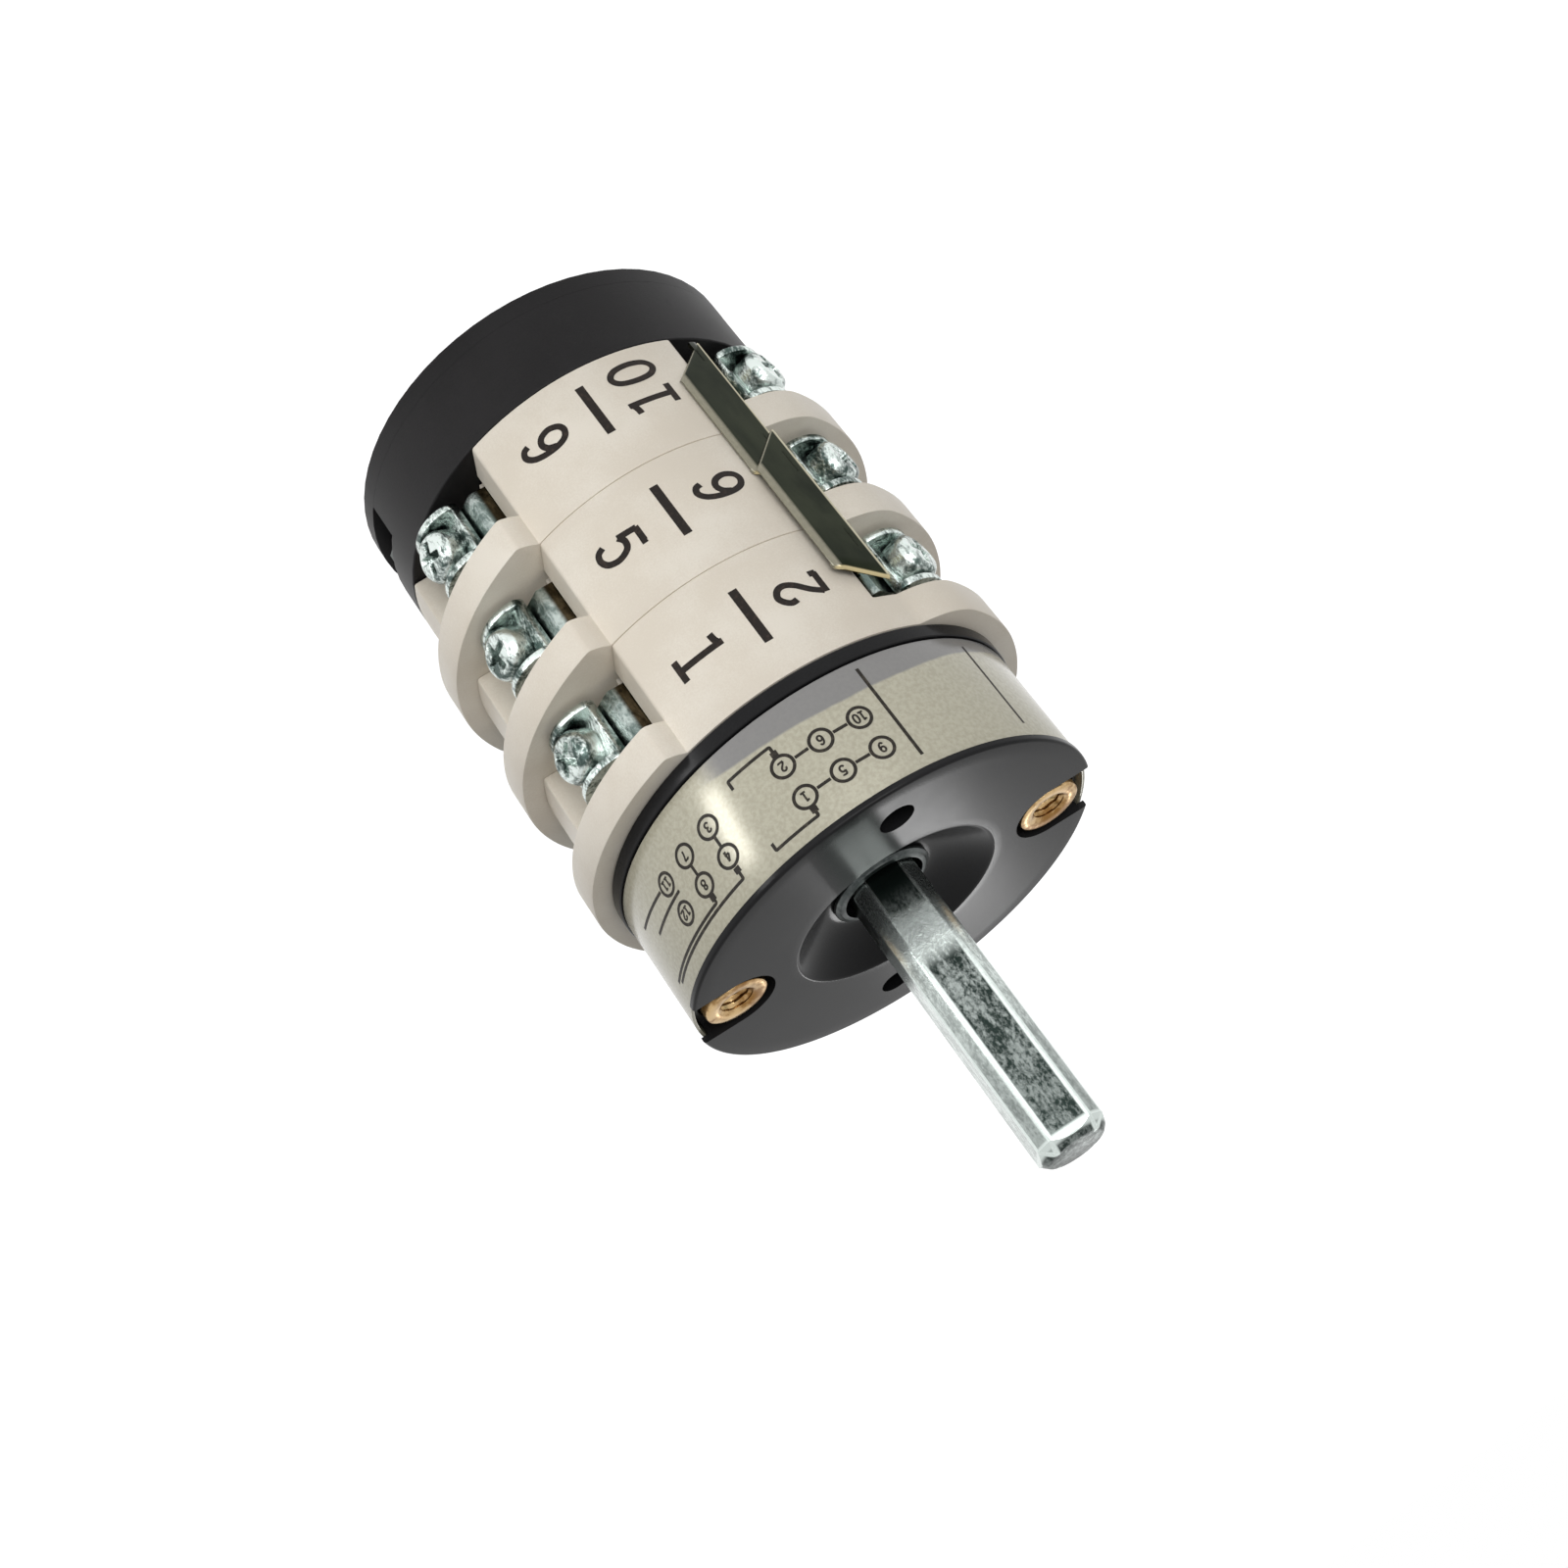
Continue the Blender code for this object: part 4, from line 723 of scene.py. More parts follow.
@dataclass
class Stages:
    """Three cream stages with their number blocks, flanges, rooms and holes."""

    body: Body
    wall_depth: float = 7.7 * MM
    flare: float = 0.8 * MM
    lobe: float = 2.1 * MM
    steep: float = 4.0
    soft: float = 16.0
    lane: float = 7.5
    partition_half: float = 4.7 * MM
    partition_radius: float = 22.6 * MM
    draft: float = 0.2 * MM
    floor_x: float = 12.6 * MM
    chamber: float = 9.1 * MM
    hub: float = 5.5 * MM
    room_half: float = 9.6 * MM
    room_inner: float = 11.1 * MM
    room_outer: float = 16.3 * MM
    guide: float = 1.8 * MM
    slot_line: float = 14.8 * MM
    slot_half: float = 0.8 * MM
    slot_top: float = 7.2 * MM
    slot_reach: float = 14.0 * MM
    skin: float = 0.02 * MM
    stretch: float = 0.12 * MM
    cavity_depth: float = 9.6 * MM

    def angles(self) -> np.ndarray:
        """Directions of the surface's columns: even ones, and close ones at the corners."""
        even = np.radians(np.arange(0.0, 360.0, 1.5))
        corner = np.radians(np.array([12.0, 21.3, 44.6, 60.0, 56.0]))
        near = np.radians(np.linspace(-1.2, 1.2, 9))
        marks = np.concatenate((corner, -corner, math.pi - corner, math.pi + corner))
        return np.unique(np.round(np.concatenate((even, (marks[:, None] + near).ravel())) % FULL, 6))

    def body_outline(self) -> np.ndarray:
        """Number blocks, partitions and pockets, as an outline with eased corners."""
        end = math.degrees(math.asin(self.partition_half / self.partition_radius))
        root = self.partition_half + self.draft
        corner_x, corner_y = self.body.edge_x + self.flare, self.body.edge_y - self.wall_depth
        angle = self.body.block_half_angle
        half = np.concatenate((
            [(self.floor_x, -root)], arc(self.partition_radius, -end, end, 7),
            [(self.floor_x, root), (corner_x, corner_y)],
            arc(self.body.radius - self.skin, 90 - angle, 90 + angle, 25), [(-corner_x, corner_y)]))
        return eased(np.concatenate((half, -half)), 0.28 * MM, steps=3)

    def flange_radius(self, angles: np.ndarray) -> np.ndarray:
        """Flush at the number blocks, swollen beside the terminals: a sine quarter wave over each ramp."""
        beside = np.degrees(angles) % 180.0 - 90.0
        from_block = np.abs(np.abs(beside) - 90.0)
        edge = 90.0 - self.body.block_half_angle - np.where(beside < 0, self.lane, 0.0)
        share = np.clip((edge - from_block) / np.where(beside < 0, self.soft, self.steep), 0.0, 1.0)
        return self.body.radius - self.skin + self.lobe * np.sin(share * math.pi / 2)

    def solid(self) -> Shape:
        """The stage as a ring of star shaped outlines, rows up its outer side and down its bore.

        e rounds its ends and f the flange's rear edge; the flange's front edge gets up to 0.1 mm more.
        """
        angles = self.angles()
        inner = star_radius(self.body_outline(), angles)
        outer = self.flange_radius(angles)
        free = np.clip((outer - inner) / (0.5 * MM), 0.0, 1.0)
        low, under, top = -self.stretch, self.cavity_depth, self.body.pitch - 0.3 * MM + self.stretch
        e, f, swell = 0.12 * MM, 0.22 * MM, 0.1 * MM * free
        rows = [
            (self.chamber, low), (inner - e, low), (inner - 0.3 * e, low + 0.3 * e), (inner, low + e),
            (inner, under - 0.25 * MM), (inner + 0.08 * MM * free, under - 0.08 * MM),
            (inner + 0.25 * MM * free, under), (outer - f * free, under),
            (outer - 0.3 * f * free, under + 0.3 * f), (outer, under + f), (outer, top - e - swell),
            (outer - 0.3 * (e + swell), top - 0.3 * e), (outer - e - swell, top), (self.hub, top),
            (self.hub, under), (self.chamber, under),
        ]
        radius, height = (np.stack([row[side] + 0 * angles for row in rows]) for side in (0, 1))
        return Shape().grid(polar(radius, angles, height), wrap_rows=True)

    def rooms(self) -> list[Shape]:
        """Cutters: contact rooms with their plunger guides, terminal slots, and holes for the tie bolts."""
        low = -1.0 * MM
        rooms, slots = Shape(), Shape()
        right = np.array([(self.guide, self.chamber - 0.8 * MM), (self.guide, self.room_inner - 0.2 * MM),
                          (self.room_half, self.room_inner), (self.room_half, self.room_outer)])
        room = np.concatenate((right, right[::-1] * (-1.0, 1.0)))
        slot = box(-self.slot_reach, self.slot_line - self.slot_half,
                   self.slot_reach, self.slot_line + self.slot_half)
        for side in (1.0, -1.0):
            rooms.prism(room * side, low, self.cavity_depth)
            slots.prism(slot * side, low, self.slot_top)
        top = self.body.pitch + 1.0 * MM
        return [rooms, slots, self.body.side_rods(self.body.tie_hole, self.body.insert_circle, low, top)]

    def build(self) -> None:
        """Makes the three stages from one cut solid."""
        shape = cut_away(self.solid().made("stage_shape", MOULDED), self.rooms())
        for stage in (1, 2, 3):
            mesh = shape.data.copy()
            mesh.transform(Matrix.Translation((0.0, 0.0, self.body.stage_base(stage))))
            piece = linked(f"stage_moulding_{stage}", mesh)
            seat(piece, Look.CREAM, "housing", f"stage_body_{stage}")
        bpy.data.objects.remove(shape, do_unlink=True)


class Numeral:
    """Typewriter numerals, strokes of points x, y, x, y in thousandths of a cell 1 high and 0.55 wide."""

    CLOSED: ClassVar[str] = "08"
    STROKES: ClassVar[dict[str, list[list[int]]]] = {
        "0": [[275, 945, 440, 820, 495, 500, 440, 180, 275, 55, 110, 180, 55, 500, 110, 820]],
        "1": [[290, 980, 290, 50], [50, 50, 530, 50], [310, 930, 200, 870, 40, 850]],
        "2": [[100, 660, 80, 780, 170, 900, 300, 950, 440, 870, 480, 720, 400, 540, 200, 320, 70, 100],
              [40, 60, 530, 60], [510, 20, 510, 170]],
        "3": [[90, 740, 110, 880, 280, 950, 430, 870, 430, 660, 330, 550, 210, 530],
              [210, 530, 380, 500, 490, 360, 480, 170, 350, 60, 190, 60, 70, 200]],
        "4": [[390, 970, 390, 30], [380, 960, 210, 640, 40, 310], [30, 300, 540, 300], [240, 40, 540, 40]],
        "5": [[120, 930, 480, 930], [470, 980, 470, 860], [140, 940, 120, 740, 100, 540],
              [100, 550, 240, 630, 410, 580, 500, 360, 440, 140, 280, 50, 130, 90, 70, 220]],
        "6": [[460, 800, 420, 910, 290, 950, 150, 840, 70, 620, 60, 340, 130, 130, 280, 50, 420, 110,
               490, 300, 430, 490, 290, 560, 150, 490, 80, 340]],
        "7": [[60, 800, 60, 950], [40, 920, 510, 920], [500, 920, 360, 620, 270, 320, 250, 30]],
        "8": [[275, 950, 430, 860, 430, 660, 275, 550, 120, 660, 120, 860],
              [275, 540, 470, 430, 480, 160, 275, 50, 70, 160, 80, 430]],
    }

    @classmethod
    def strokes(cls, digit: str) -> list[np.ndarray]:
        """Smooth middle lines of a digit's strokes; 9 is 6 turned round."""
        if digit == "9":
            return [np.array([0.55, 1.0]) - line for line in cls.strokes("6")]
        closed = digit in cls.CLOSED
        lines = [smooth_line(np.array(points).reshape(-1, 2) / 1000, 6, closed)
                 for points in cls.STROKES[digit]]
        return [np.concatenate((line, line[:2])) if closed else line for line in lines]

    @classmethod
    def number(cls, text: str, size: float, advance: float) -> list[np.ndarray]:
        """Middle lines of a number's strokes, centred on the origin.

        Args:
            text: Its digits.
            size: Height of a digit.
            advance: Step from one digit to the next, as a share of the height.

        Returns:
            Lines of points (across, up).
        """
        span = (len(text) - 1) * advance + 0.55
        return [np.stack(((line[:, 0] + place * advance - span / 2) * size, (line[:, 1] - 0.5) * size), 1)
                for place, digit in enumerate(text) for line in cls.strokes(digit)]


@dataclass
class Print:
    """Numbers and dashes printed on the number blocks."""

    body: Body
    height: float = 5.2 * MM
    width: float = 0.68 * MM
    dash_width: float = 0.92 * MM
    dash_length: float = 6.6 * MM
    dash_place: float = -0.25 * MM
    column: float = 5.7 * MM
    advance: float = 0.76
    depth: float = 0.12 * MM

    def number(self, value: int, column: float, middle: float, upward: float) -> Shape:
        """A number whose top points along the circumference.

        Args:
            value: The number.
            column: Place of its middle along the circumference.
            middle: Height of its middle.
            upward: 1 if its top points towards growing places, -1 if the other way.

        Returns:
            The strokes.
        """
        shape = Shape()
        for line in Numeral.number(str(value), self.height, self.advance):
            path = np.stack((column + upward * line[:, 1], middle - upward * line[:, 0]), 1)
            shape.ribbon(path, self.width, self.body.radius, self.depth)
        return shape

    def build(self) -> None:
        """Prints each stage's two faces; the far face carries the other two numbers."""
        marks = {1: (6.45, 7.0, 6.3), 2: (5.95, 6.25, 5.85), 3: (5.4, 5.5, 5.05)}
        for stage, (dash, first, second) in marks.items():
            base = self.body.stage_base(stage)
            length = np.linspace(-0.5, 0.5, 9) * self.dash_length
            line = np.stack((np.full(9, self.dash_place), base + dash * MM + length), 1)
            ink = Shape()
            for side, turn in enumerate(HALVES):
                low = 4 * (stage - 1) + 2 * side + 1
                face = Shape().ribbon(line, self.dash_width, self.body.radius, self.depth)
                face.join(self.number(low, self.column, base + first * MM, -1.0))
                face.join(self.number(low + 1, -self.column, base + second * MM, 1.0))
                ink.join(face.placed(spin(turn)))
            seat(ink.made(f"stage_print_{stage}", PRINTED), Look.INK, "housing")


@dataclass
class Screws:
    """Terminal screws with a cross recess, each with its saddle clamp."""

    body: Body
    angle: float = 33.0
    height: float = 4.1 * MM
    seat_radius: float = 20.3 * MM
    base: float = 1.0 * MM
    wall: float = 0.8 * MM
    rise: float = 2.3 * MM
    crown: float = 4.4 * MM
    half_width: float = 3.6 * MM
    half_length: float = 3.8 * MM
    head_radius: float = 2.7 * MM
    head_height: float = 2.8 * MM
    shank: float = 1.7 * MM
    tail: float = 16.3 * MM
    recess: float = 1.3 * MM
    thread_pitch: float = 0.7 * MM
    thread_depth: float = 0.22 * MM

    def head(self) -> Shape:
        """The screw, upright on Z: a domed top with a cross recess, straight sides and a threaded shank.

        The top is a polar grid whose height is dome(r) less the recess depth where the point lies in one of
        two crossed slots, with S shaped slopes. The shank's radius goes in and out along a screw line.
        """
        under = self.seat_radius + self.base
        top = under + self.head_height
        angle = round_about(96)[None, :]
        share = np.linspace(0.02, 1.0, 26)[:, None]
        radius = share * self.head_radius
        x, y = np.abs(radius * np.cos(angle)), np.abs(radius * np.sin(angle))
        dome = top - 0.25 * MM * share ** 2 - 0.85 * MM * np.clip((share - 0.72) / 0.28, 0, 1) ** 2.2
        narrow, wide = np.minimum(x, y), np.maximum(x, y)
        inside = (np.clip((0.42 * MM - narrow) / (0.16 * MM), 0, 1)
                  * np.clip((1.75 * MM - wide) / (0.35 * MM), 0, 1))
        inside = inside * inside * (3 - 2 * inside)
        surface = dome - self.recess * inside * (1.15 - wide / (3.2 * MM))
        side_height = np.array([top - 1.25 * MM, under + 0.15 * MM, under, under])[:, None]
        side_radius = np.array([1.0, 1.0, 0.96, 0.66])[:, None] * self.head_radius
        thread_z = (under - np.linspace(0.0, 1.0, 46) * (under - self.tail))[:, None]
        phase = (thread_z / self.thread_pitch + angle / FULL) % 1.0
        thread_r = self.shank - self.thread_depth * np.abs(2 * phase - 1)
        rows = [polar(radius, angle, surface), polar(side_radius, angle, side_height),
                polar(thread_r, angle, thread_z)]
        return Shape().grid(np.concatenate(rows), caps=True)

    def clamp(self) -> Shape:
        """The saddle: a base plate with a wing on each side, whose top is an arc, every edge eased."""
        under = self.seat_radius + self.base
        plate = box(-self.half_width, -self.half_length, self.half_width, self.half_length)
        shape = Shape().prism(eased(plate, 0.3 * MM), self.seat_radius, under, 0.12 * MM)
        end = math.degrees(math.asin(self.half_length / self.crown))
        crown = arc(self.crown, -end, end, 25, (under + self.rise - self.crown, 0.0))
        foot = self.seat_radius + 0.1 * MM
        outline = np.concatenate((crown, [(foot, self.half_length), (foot, -self.half_length)]))
        outline = eased(outline, 0.12 * MM, steps=2)
        upright = Matrix(((0.0, 0.0, 1.0), (0.0, 1.0, 0.0), (1.0, 0.0, 0.0))).to_4x4()
        for near, far in ((self.half_width - self.wall, self.half_width),
                          (-self.half_width, self.wall - self.half_width)):
            shape.join(Shape().prism(outline, near, far, 0.14 * MM).placed(upright))
        return shape

    def build(self) -> None:
        """Places the twelve screws and clamps, each screw turned on its own."""
        lay = Matrix(((0.0, 0.0, 1.0), (0.0, 1.0, 0.0), (-1.0, 0.0, 0.0))).to_4x4()
        sides = (-self.angle, 180.0 + self.angle, 180.0 - self.angle, self.angle)
        for stage in (1, 2, 3):
            for place, degrees in enumerate(sides):
                number = 4 * (stage - 1) + place + 1
                shape = self.head().placed(spin(37.0 * number)).join(self.clamp()).placed(lay)
                up = Matrix.Translation((0.0, 0.0, self.body.stage_base(stage) + self.height))
                piece = shape.placed(up @ spin(degrees)).made(f"clamp_screw_{number}", METAL)
                seat(piece, Look.ZINC, "housing", f"terminal_screw_{number}")


@dataclass
class Links:
    """Bent strips that join terminals of neighbouring stages, with a rolled edge towards the numbers."""

    body: Body
    sheet: float = 0.4 * MM
    standoff: float = 0.2 * MM
    stacking: float = 0.2 * MM
    terminal_side: float = 2.4 * MM
    number_side: float = 2.5 * MM
    rear_end: float = 1.3 * MM
    front_end: float = 6.4 * MM
    rear_slant: float = 4.8 * MM
    front_slant: float = 2.2 * MM
    leg_width: float = 3.0 * MM
    leg_clearance: float = 1.0 * MM
    roll: float = 0.3 * MM
    roll_width: float = 0.7 * MM
    corner_round: float = 1.0 * MM

    def face(self, rear_stage: int, inner: float) -> Shape:
        """The strip's face: across it the sheet rolls in at its number side, and its ends run slanted.

        A point at share s across and b along lies at the height low(s) + b (high(s) - low(s)).

        Args:
            rear_stage: The rear one of the two stages that it joins.
            inner: Radius of its inner side.

        Returns:
            The face, with its middle line in the direction of X.
        """
        rear, front = self.body.stage_base(rear_stage), self.body.stage_base(rear_stage - 1)
        left, right, turn = self.number_side, -self.terminal_side, self.corner_round
        bottom, top = rear + self.rear_end, front + self.front_end
        over = rear_stage == 3
        across = np.concatenate((left - np.array([0.0, 0.05, 0.12, 0.22, 0.34, 0.5, 0.7]) * MM,
                                 np.linspace(left - 1.0 * MM, right, 14)))
        inset = right + self.sheet + self.leg_clearance if over else right
        low = np.interp(across, [right, left], [bottom, bottom + self.rear_slant])
        slant = self.front_slant / 2 if over else self.front_slant
        high = np.interp(across, [inset, left - turn, left], [top + slant, top, top])
        beyond = np.clip(across - (left - turn), 0.0, turn)
        high = high - turn + np.sqrt(turn ** 2 - beyond ** 2)
        if over:
            high = np.where(across < inset - 1e-9, front + self.rear_end + self.leg_width, high)
        away = np.clip((across - (left - self.roll_width)) / self.roll_width, 0.0, 1.0)
        depth = inner + self.sheet - self.roll * away ** 2
        ease = self.sheet * np.array([0.0, 0.15, 0.45, 1.0])
        height = np.concatenate((low + ease[:, None], low + np.linspace(0.1, 0.9, 12)[:, None] * (high - low),
                                 high - ease[::-1, None]))
        drop = (self.sheet - 0.02 * MM) * (1.0 - np.sqrt(1.0 - (1.0 - ease / self.sheet) ** 2))
        drop = np.concatenate((drop, np.zeros(12), drop[::-1]))[:, None]
        outer, under = (np.stack(np.broadcast_arrays(out, across, height), -1)
                        for out in (depth - drop, inner - 0.03 * MM * away))
        return Shape().grid(np.concatenate((outer, under[:, ::-1]), 1), caps=True)

    def leg(self, inner: float, low: float) -> Shape:
        """A tongue from the strip's edge in to the terminal, as an eased path carried up its width."""
        corner = math.radians(270.0 - self.body.block_half_angle)
        out = np.array([math.cos(corner), math.sin(corner)])
        side = np.array([-out[1], out[0]])
        fold = out * (inner + self.sheet / 2) + side * (-self.terminal_side + self.sheet / 2)
        start = out * (inner + self.sheet / 2) + side * (-self.terminal_side + 1.0 * MM)
        foot = np.array([-self.body.edge_x - 1.6 * MM, -15.6 * MM])
        path = eased(np.array([start, fold, foot]), 0.35 * MM, closed=False, steps=6)
        normal = left_of(np.gradient(path, axis=0)) * self.sheet / 2
        outline = np.concatenate((path - normal, (path + normal)[::-1]))
        return Shape().prism(outline, low, low + self.leg_width, 0.05 * MM)

    def build(self) -> None:
        """Makes two links on each side, the front one over the rear one."""
        for letter, turn in zip("ab", HALVES):
            for rear_stage in (2, 3):
                inner = self.body.radius + self.standoff + (3 - rear_stage) * (self.sheet + self.stacking)
                corner = spin(turn) @ spin(270.0 - self.body.block_half_angle)
                shape = self.face(rear_stage, inner).placed(corner)
                first = self.body.stage_base(rear_stage) + self.rear_end
                if rear_stage < 3:
                    first += self.leg_width + 0.3 * MM
                for low in (first, self.body.stage_base(rear_stage - 1) + self.rear_end):
                    shape.join(self.leg(inner, low).placed(spin(turn)))
                name = f"{letter}{rear_stage - 1}"
                piece = shape.made(f"bent_link_{name}", METAL)
                seat(piece, Look.STRIP, "housing", f"link_{name}")


@dataclass
class Head:
    """The black head with its dish, slots and holes, and the steel washer in the dish."""

    body: Body
    lip: float = 0.7 * MM
    lip_round: float = 0.4 * MM
    ring: float = 1.6 * MM
    seat_radius: float = 22.0 * MM
    floor: float = 5.4 * MM
    cavity: float = 13.4 * MM
    lug_radius: float = 9.1 * MM
    lug_half_angle: float = 8.0
    bore: float = 4.4 * MM
    dish_radius: float = 11.2 * MM
    dish_floor: float = 5.7 * MM
    dish_depth: float = 3.0 * MM
    slot_radius: float = 4.1 * MM
    slot_depth: float = 1.6 * MM
    insert_seat: float = 3.7 * MM
    insert_depth: float = 7.5 * MM
    rivet_radius: float = 1.85 * MM
    rivet_circle: float = 17.4 * MM
    rivet_angle: float = 86.6
    rivet_depth: float = 6.0 * MM

    def solid(self) -> Shape:
        """A ring of rows: up the outside, over the lip, down the dish and the bore, out to the cavity wall.

        The dish falls as depth (1 - s^1.5) with s from 0 at its floor's rim to 1 at its edge, its edge eased.
        The cavity's radius drops to the lugs' within their half angle.
        """
        base, front, radius = self.body.head_base - 0.1 * MM, self.body.front, self.body.radius
        share = np.linspace(0.0, 1.0, 14)[::-1]
        dish = np.stack((self.dish_floor + (self.dish_radius - self.dish_floor) * share,
                         front - self.dish_depth * (1 - share ** 1.5)), 1)
        rim = eased(np.array([(radius, front - self.lip), (radius, front), (radius - 2.0 * MM, front)]),
                    self.lip_round, False, 5)
        edge = eased(np.array([(self.dish_radius + 1.2 * MM, front), dish[0], dish[1]]), 0.25 * MM, False, 5)
        plain = np.concatenate((
            [(radius - 0.15 * MM, base), (radius, base + 0.15 * MM), (radius, base + self.ring - 0.1 * MM),
             (radius - 0.1 * MM, base + self.ring), (self.seat_radius, base + self.ring),
             (self.seat_radius, front - self.lip)],
            rim, edge, dish[2:], [(self.bore, front - self.dish_depth), (self.bore, front - self.floor)]))
        angle = round_about(180)
        beside = np.abs((np.degrees(angle) % 180.0) - 90.0)
        wall = np.where(beside < self.lug_half_angle, self.lug_radius, self.cavity)
        radii = np.concatenate((np.repeat(plain[:, :1], 180, 1), wall[None], wall[None]))
        heights = np.concatenate((plain[:, 1], [front - self.floor, base]))[:, None]
        return Shape().grid(polar(radii, angle, heights), wrap_rows=True)

    def cutters(self) -> list[Shape]:
        """Open slots, insert seats, tie bolt holes and the two small holes."""
        front, circle = self.body.front, self.body.insert_circle
        mouth = arc(self.slot_radius, 90.0, 270.0, 33, (circle, 0.0))
        edge = self.body.radius + 1.0 * MM
        outline = np.concatenate((mouth, [(edge, -self.slot_radius), (edge, self.slot_radius)]))
        slots = Shape()
        for turn in HALVES:
            slots.join(Shape().prism(outline, front - self.slot_depth, front + 1.0 * MM).placed(spin(turn)))
        rods, past = self.body.side_rods, front + 0.5 * MM
        return [slots, rods(self.insert_seat, circle, front - self.insert_depth, past),
                rods(self.body.tie_hole, circle, self.body.head_base - 1.0 * MM, front),
                rods(self.rivet_radius, self.rivet_circle, front - self.rivet_depth, past, self.rivet_angle)]

    def washer(self) -> Shape:
        """The steel ring round the shaft: two low steps with eased edges."""
        low = self.body.front - self.dish_depth + 0.1 * MM
        inner, outer = self.bore, self.dish_floor - 0.3 * MM
        profile = np.array([(inner, low), (outer, low), (outer, low + 0.35 * MM),
                            (outer - 0.35 * MM, low + 0.5 * MM), (outer - 0.5 * MM, low + 0.62 * MM),
                            (inner, low + 0.7 * MM)])
        return Shape().turned(eased(profile, 0.08 * MM), 96)

    def build(self) -> None:
        """Makes the head and its washer."""
        piece = cut_away(self.solid().made("head_moulding", MOULDED), self.cutters())
        seat(piece, Look.FACE, "housing", "head")
        seat(self.washer().made("dish_washer"), Look.STEEL, "housing", "guide_washer")


@dataclass
class Label:
    """The foil band round the head with a plain wiring diagram of circles and lines."""

    body: Body
    radius: float = 22.6 * MM
    thickness: float = 0.35 * MM
    rear: float = 1.68 * MM
    front: float = 0.78 * MM
    line: float = 0.32 * MM
    ring: float = 1.08 * MM
    digit_height: float = 1.05 * MM
    digit_width: float = 0.2 * MM
    ink_depth: float = 0.06 * MM

    def place(self, degrees: float, height: float) -> np.ndarray:
        """Place along the circumference and height of a point at an angle and so many mm before the front."""
        return np.array((math.radians(degrees + 90.0) * self.radius, self.body.front + height * MM))

    def band(self) -> Shape:
        """The band as a thin ring with eased edges."""
        profile = box(self.radius - self.thickness, self.body.head_base + self.rear,
                      self.radius - 0.02 * MM, self.body.front - self.front)
        return Shape().turned(eased(profile, 0.05 * MM, steps=2), 240)

    @staticmethod
    def filled(path: np.ndarray) -> np.ndarray:
        """The path with points added so that none of its spans is long, because the band is round."""
        length = np.concatenate(([0.0], np.cumsum(np.linalg.norm(np.diff(path, axis=0), axis=1))))
        wanted = np.unique(np.concatenate((length, np.arange(0.0, length[-1], 0.6 * MM))))
        return np.stack((np.interp(wanted, length, path[:, 0]), np.interp(wanted, length, path[:, 1])), 1)

    def diagram(self) -> Shape:
        """Numbered circles, the lines that join them, brackets with their arrows, and dividers."""
        near, side = (-76.0, -86.4, -96.8), (-33.5, -43.5, -53.2)
        rows = ((-8.1, near, (2, 6, 10)), (-4.4, near, (1, 5, 9)),
                (-8.7, side, (11, 7, 3)), (-5.2, side, (12, 8, 4)))
        centres = [(self.place(angle, height), number)
                   for height, angles, numbers in rows for angle, number in zip(angles, numbers)]
        shape = Shape()
        for centre, _ in centres:
            shape.ribbon(centre + arc(self.ring, 0.0, 370.0, 38), self.line, self.radius, self.ink_depth)
        strokes = [
            *[[(start, height), (end, height)]
              for height in (-8.1, -4.4) for start, end in ((-79.3, -83.0), (-89.7, -93.5))],
            [(-63.6, -9.5), (-63.6, -10.45), (-76.0, -10.45), (-76.0, -9.4)],
            [(-63.6, -3.0), (-63.6, -2.2), (-76.0, -2.2), (-76.0, -3.1)],
            [(-43.5, -7.5), (-43.5, -6.4)], [(-53.2, -7.5), (-53.2, -6.4)],
            [(-43.5, -3.9), (-43.5, -3.05), (-12.0, -3.05)], [(-53.2, -3.9), (-53.2, -2.55), (-14.0, -2.55)],
            [(-19.0, -7.1), (-36.0, -7.1)], [(-13.0, -9.4), (-30.0, -8.9)],
        ]
        share = np.linspace(0.0, 1.0, 9)
        for stroke in strokes:
            path = np.array([self.place(*point) for point in stroke])
            if len(path) == 2:
                path = np.stack([np.interp(share, [0, 1], path[:, axis]) for axis in (0, 1)], 1)
            else:
                path = eased(path, 0.12 * MM, False, 3)
            shape.ribbon(self.filled(path), self.line, self.radius, self.ink_depth)
        for angle, low, high, width in ((-103.6, -12.7, -2.0, 0.34), (-136.8, -12.4, -2.4, 0.30)):
            path = np.array([self.place(angle, low), self.place(angle, high)])
            shape.ribbon(path, width * MM, self.radius, self.ink_depth)
        arrows = ((-76.0, -9.6, -1.0), (-76.0, -2.9, 1.0), (-43.5, -3.7, -1.0), (-53.2, -3.6, -1.0))
        for angle, height, upward in arrows:
            tip = self.place(angle, height)
            path = np.stack((np.full(3, tip[0]), tip[1] + upward * np.array([-0.35, 0.0, 0.3]) * MM), 1)
            shape.ribbon(path, 0.7 * MM, self.radius, self.ink_depth)
        for centre, number in centres:
            for line in Numeral.number(str(number), self.digit_height, 0.62):
                shape.ribbon((centre + line)[::2], self.digit_width, self.radius, self.ink_depth)
        return shape

    def build(self) -> None:
        """Makes the band and its print."""
        foil = Foil("label_foil", self.body.head_base + self.rear).material()
        seat(self.band().made("foil_band"), foil, "housing", "label_band")
        seat(self.diagram().made("foil_print", PRINTED), Look.FINE_INK, "housing")


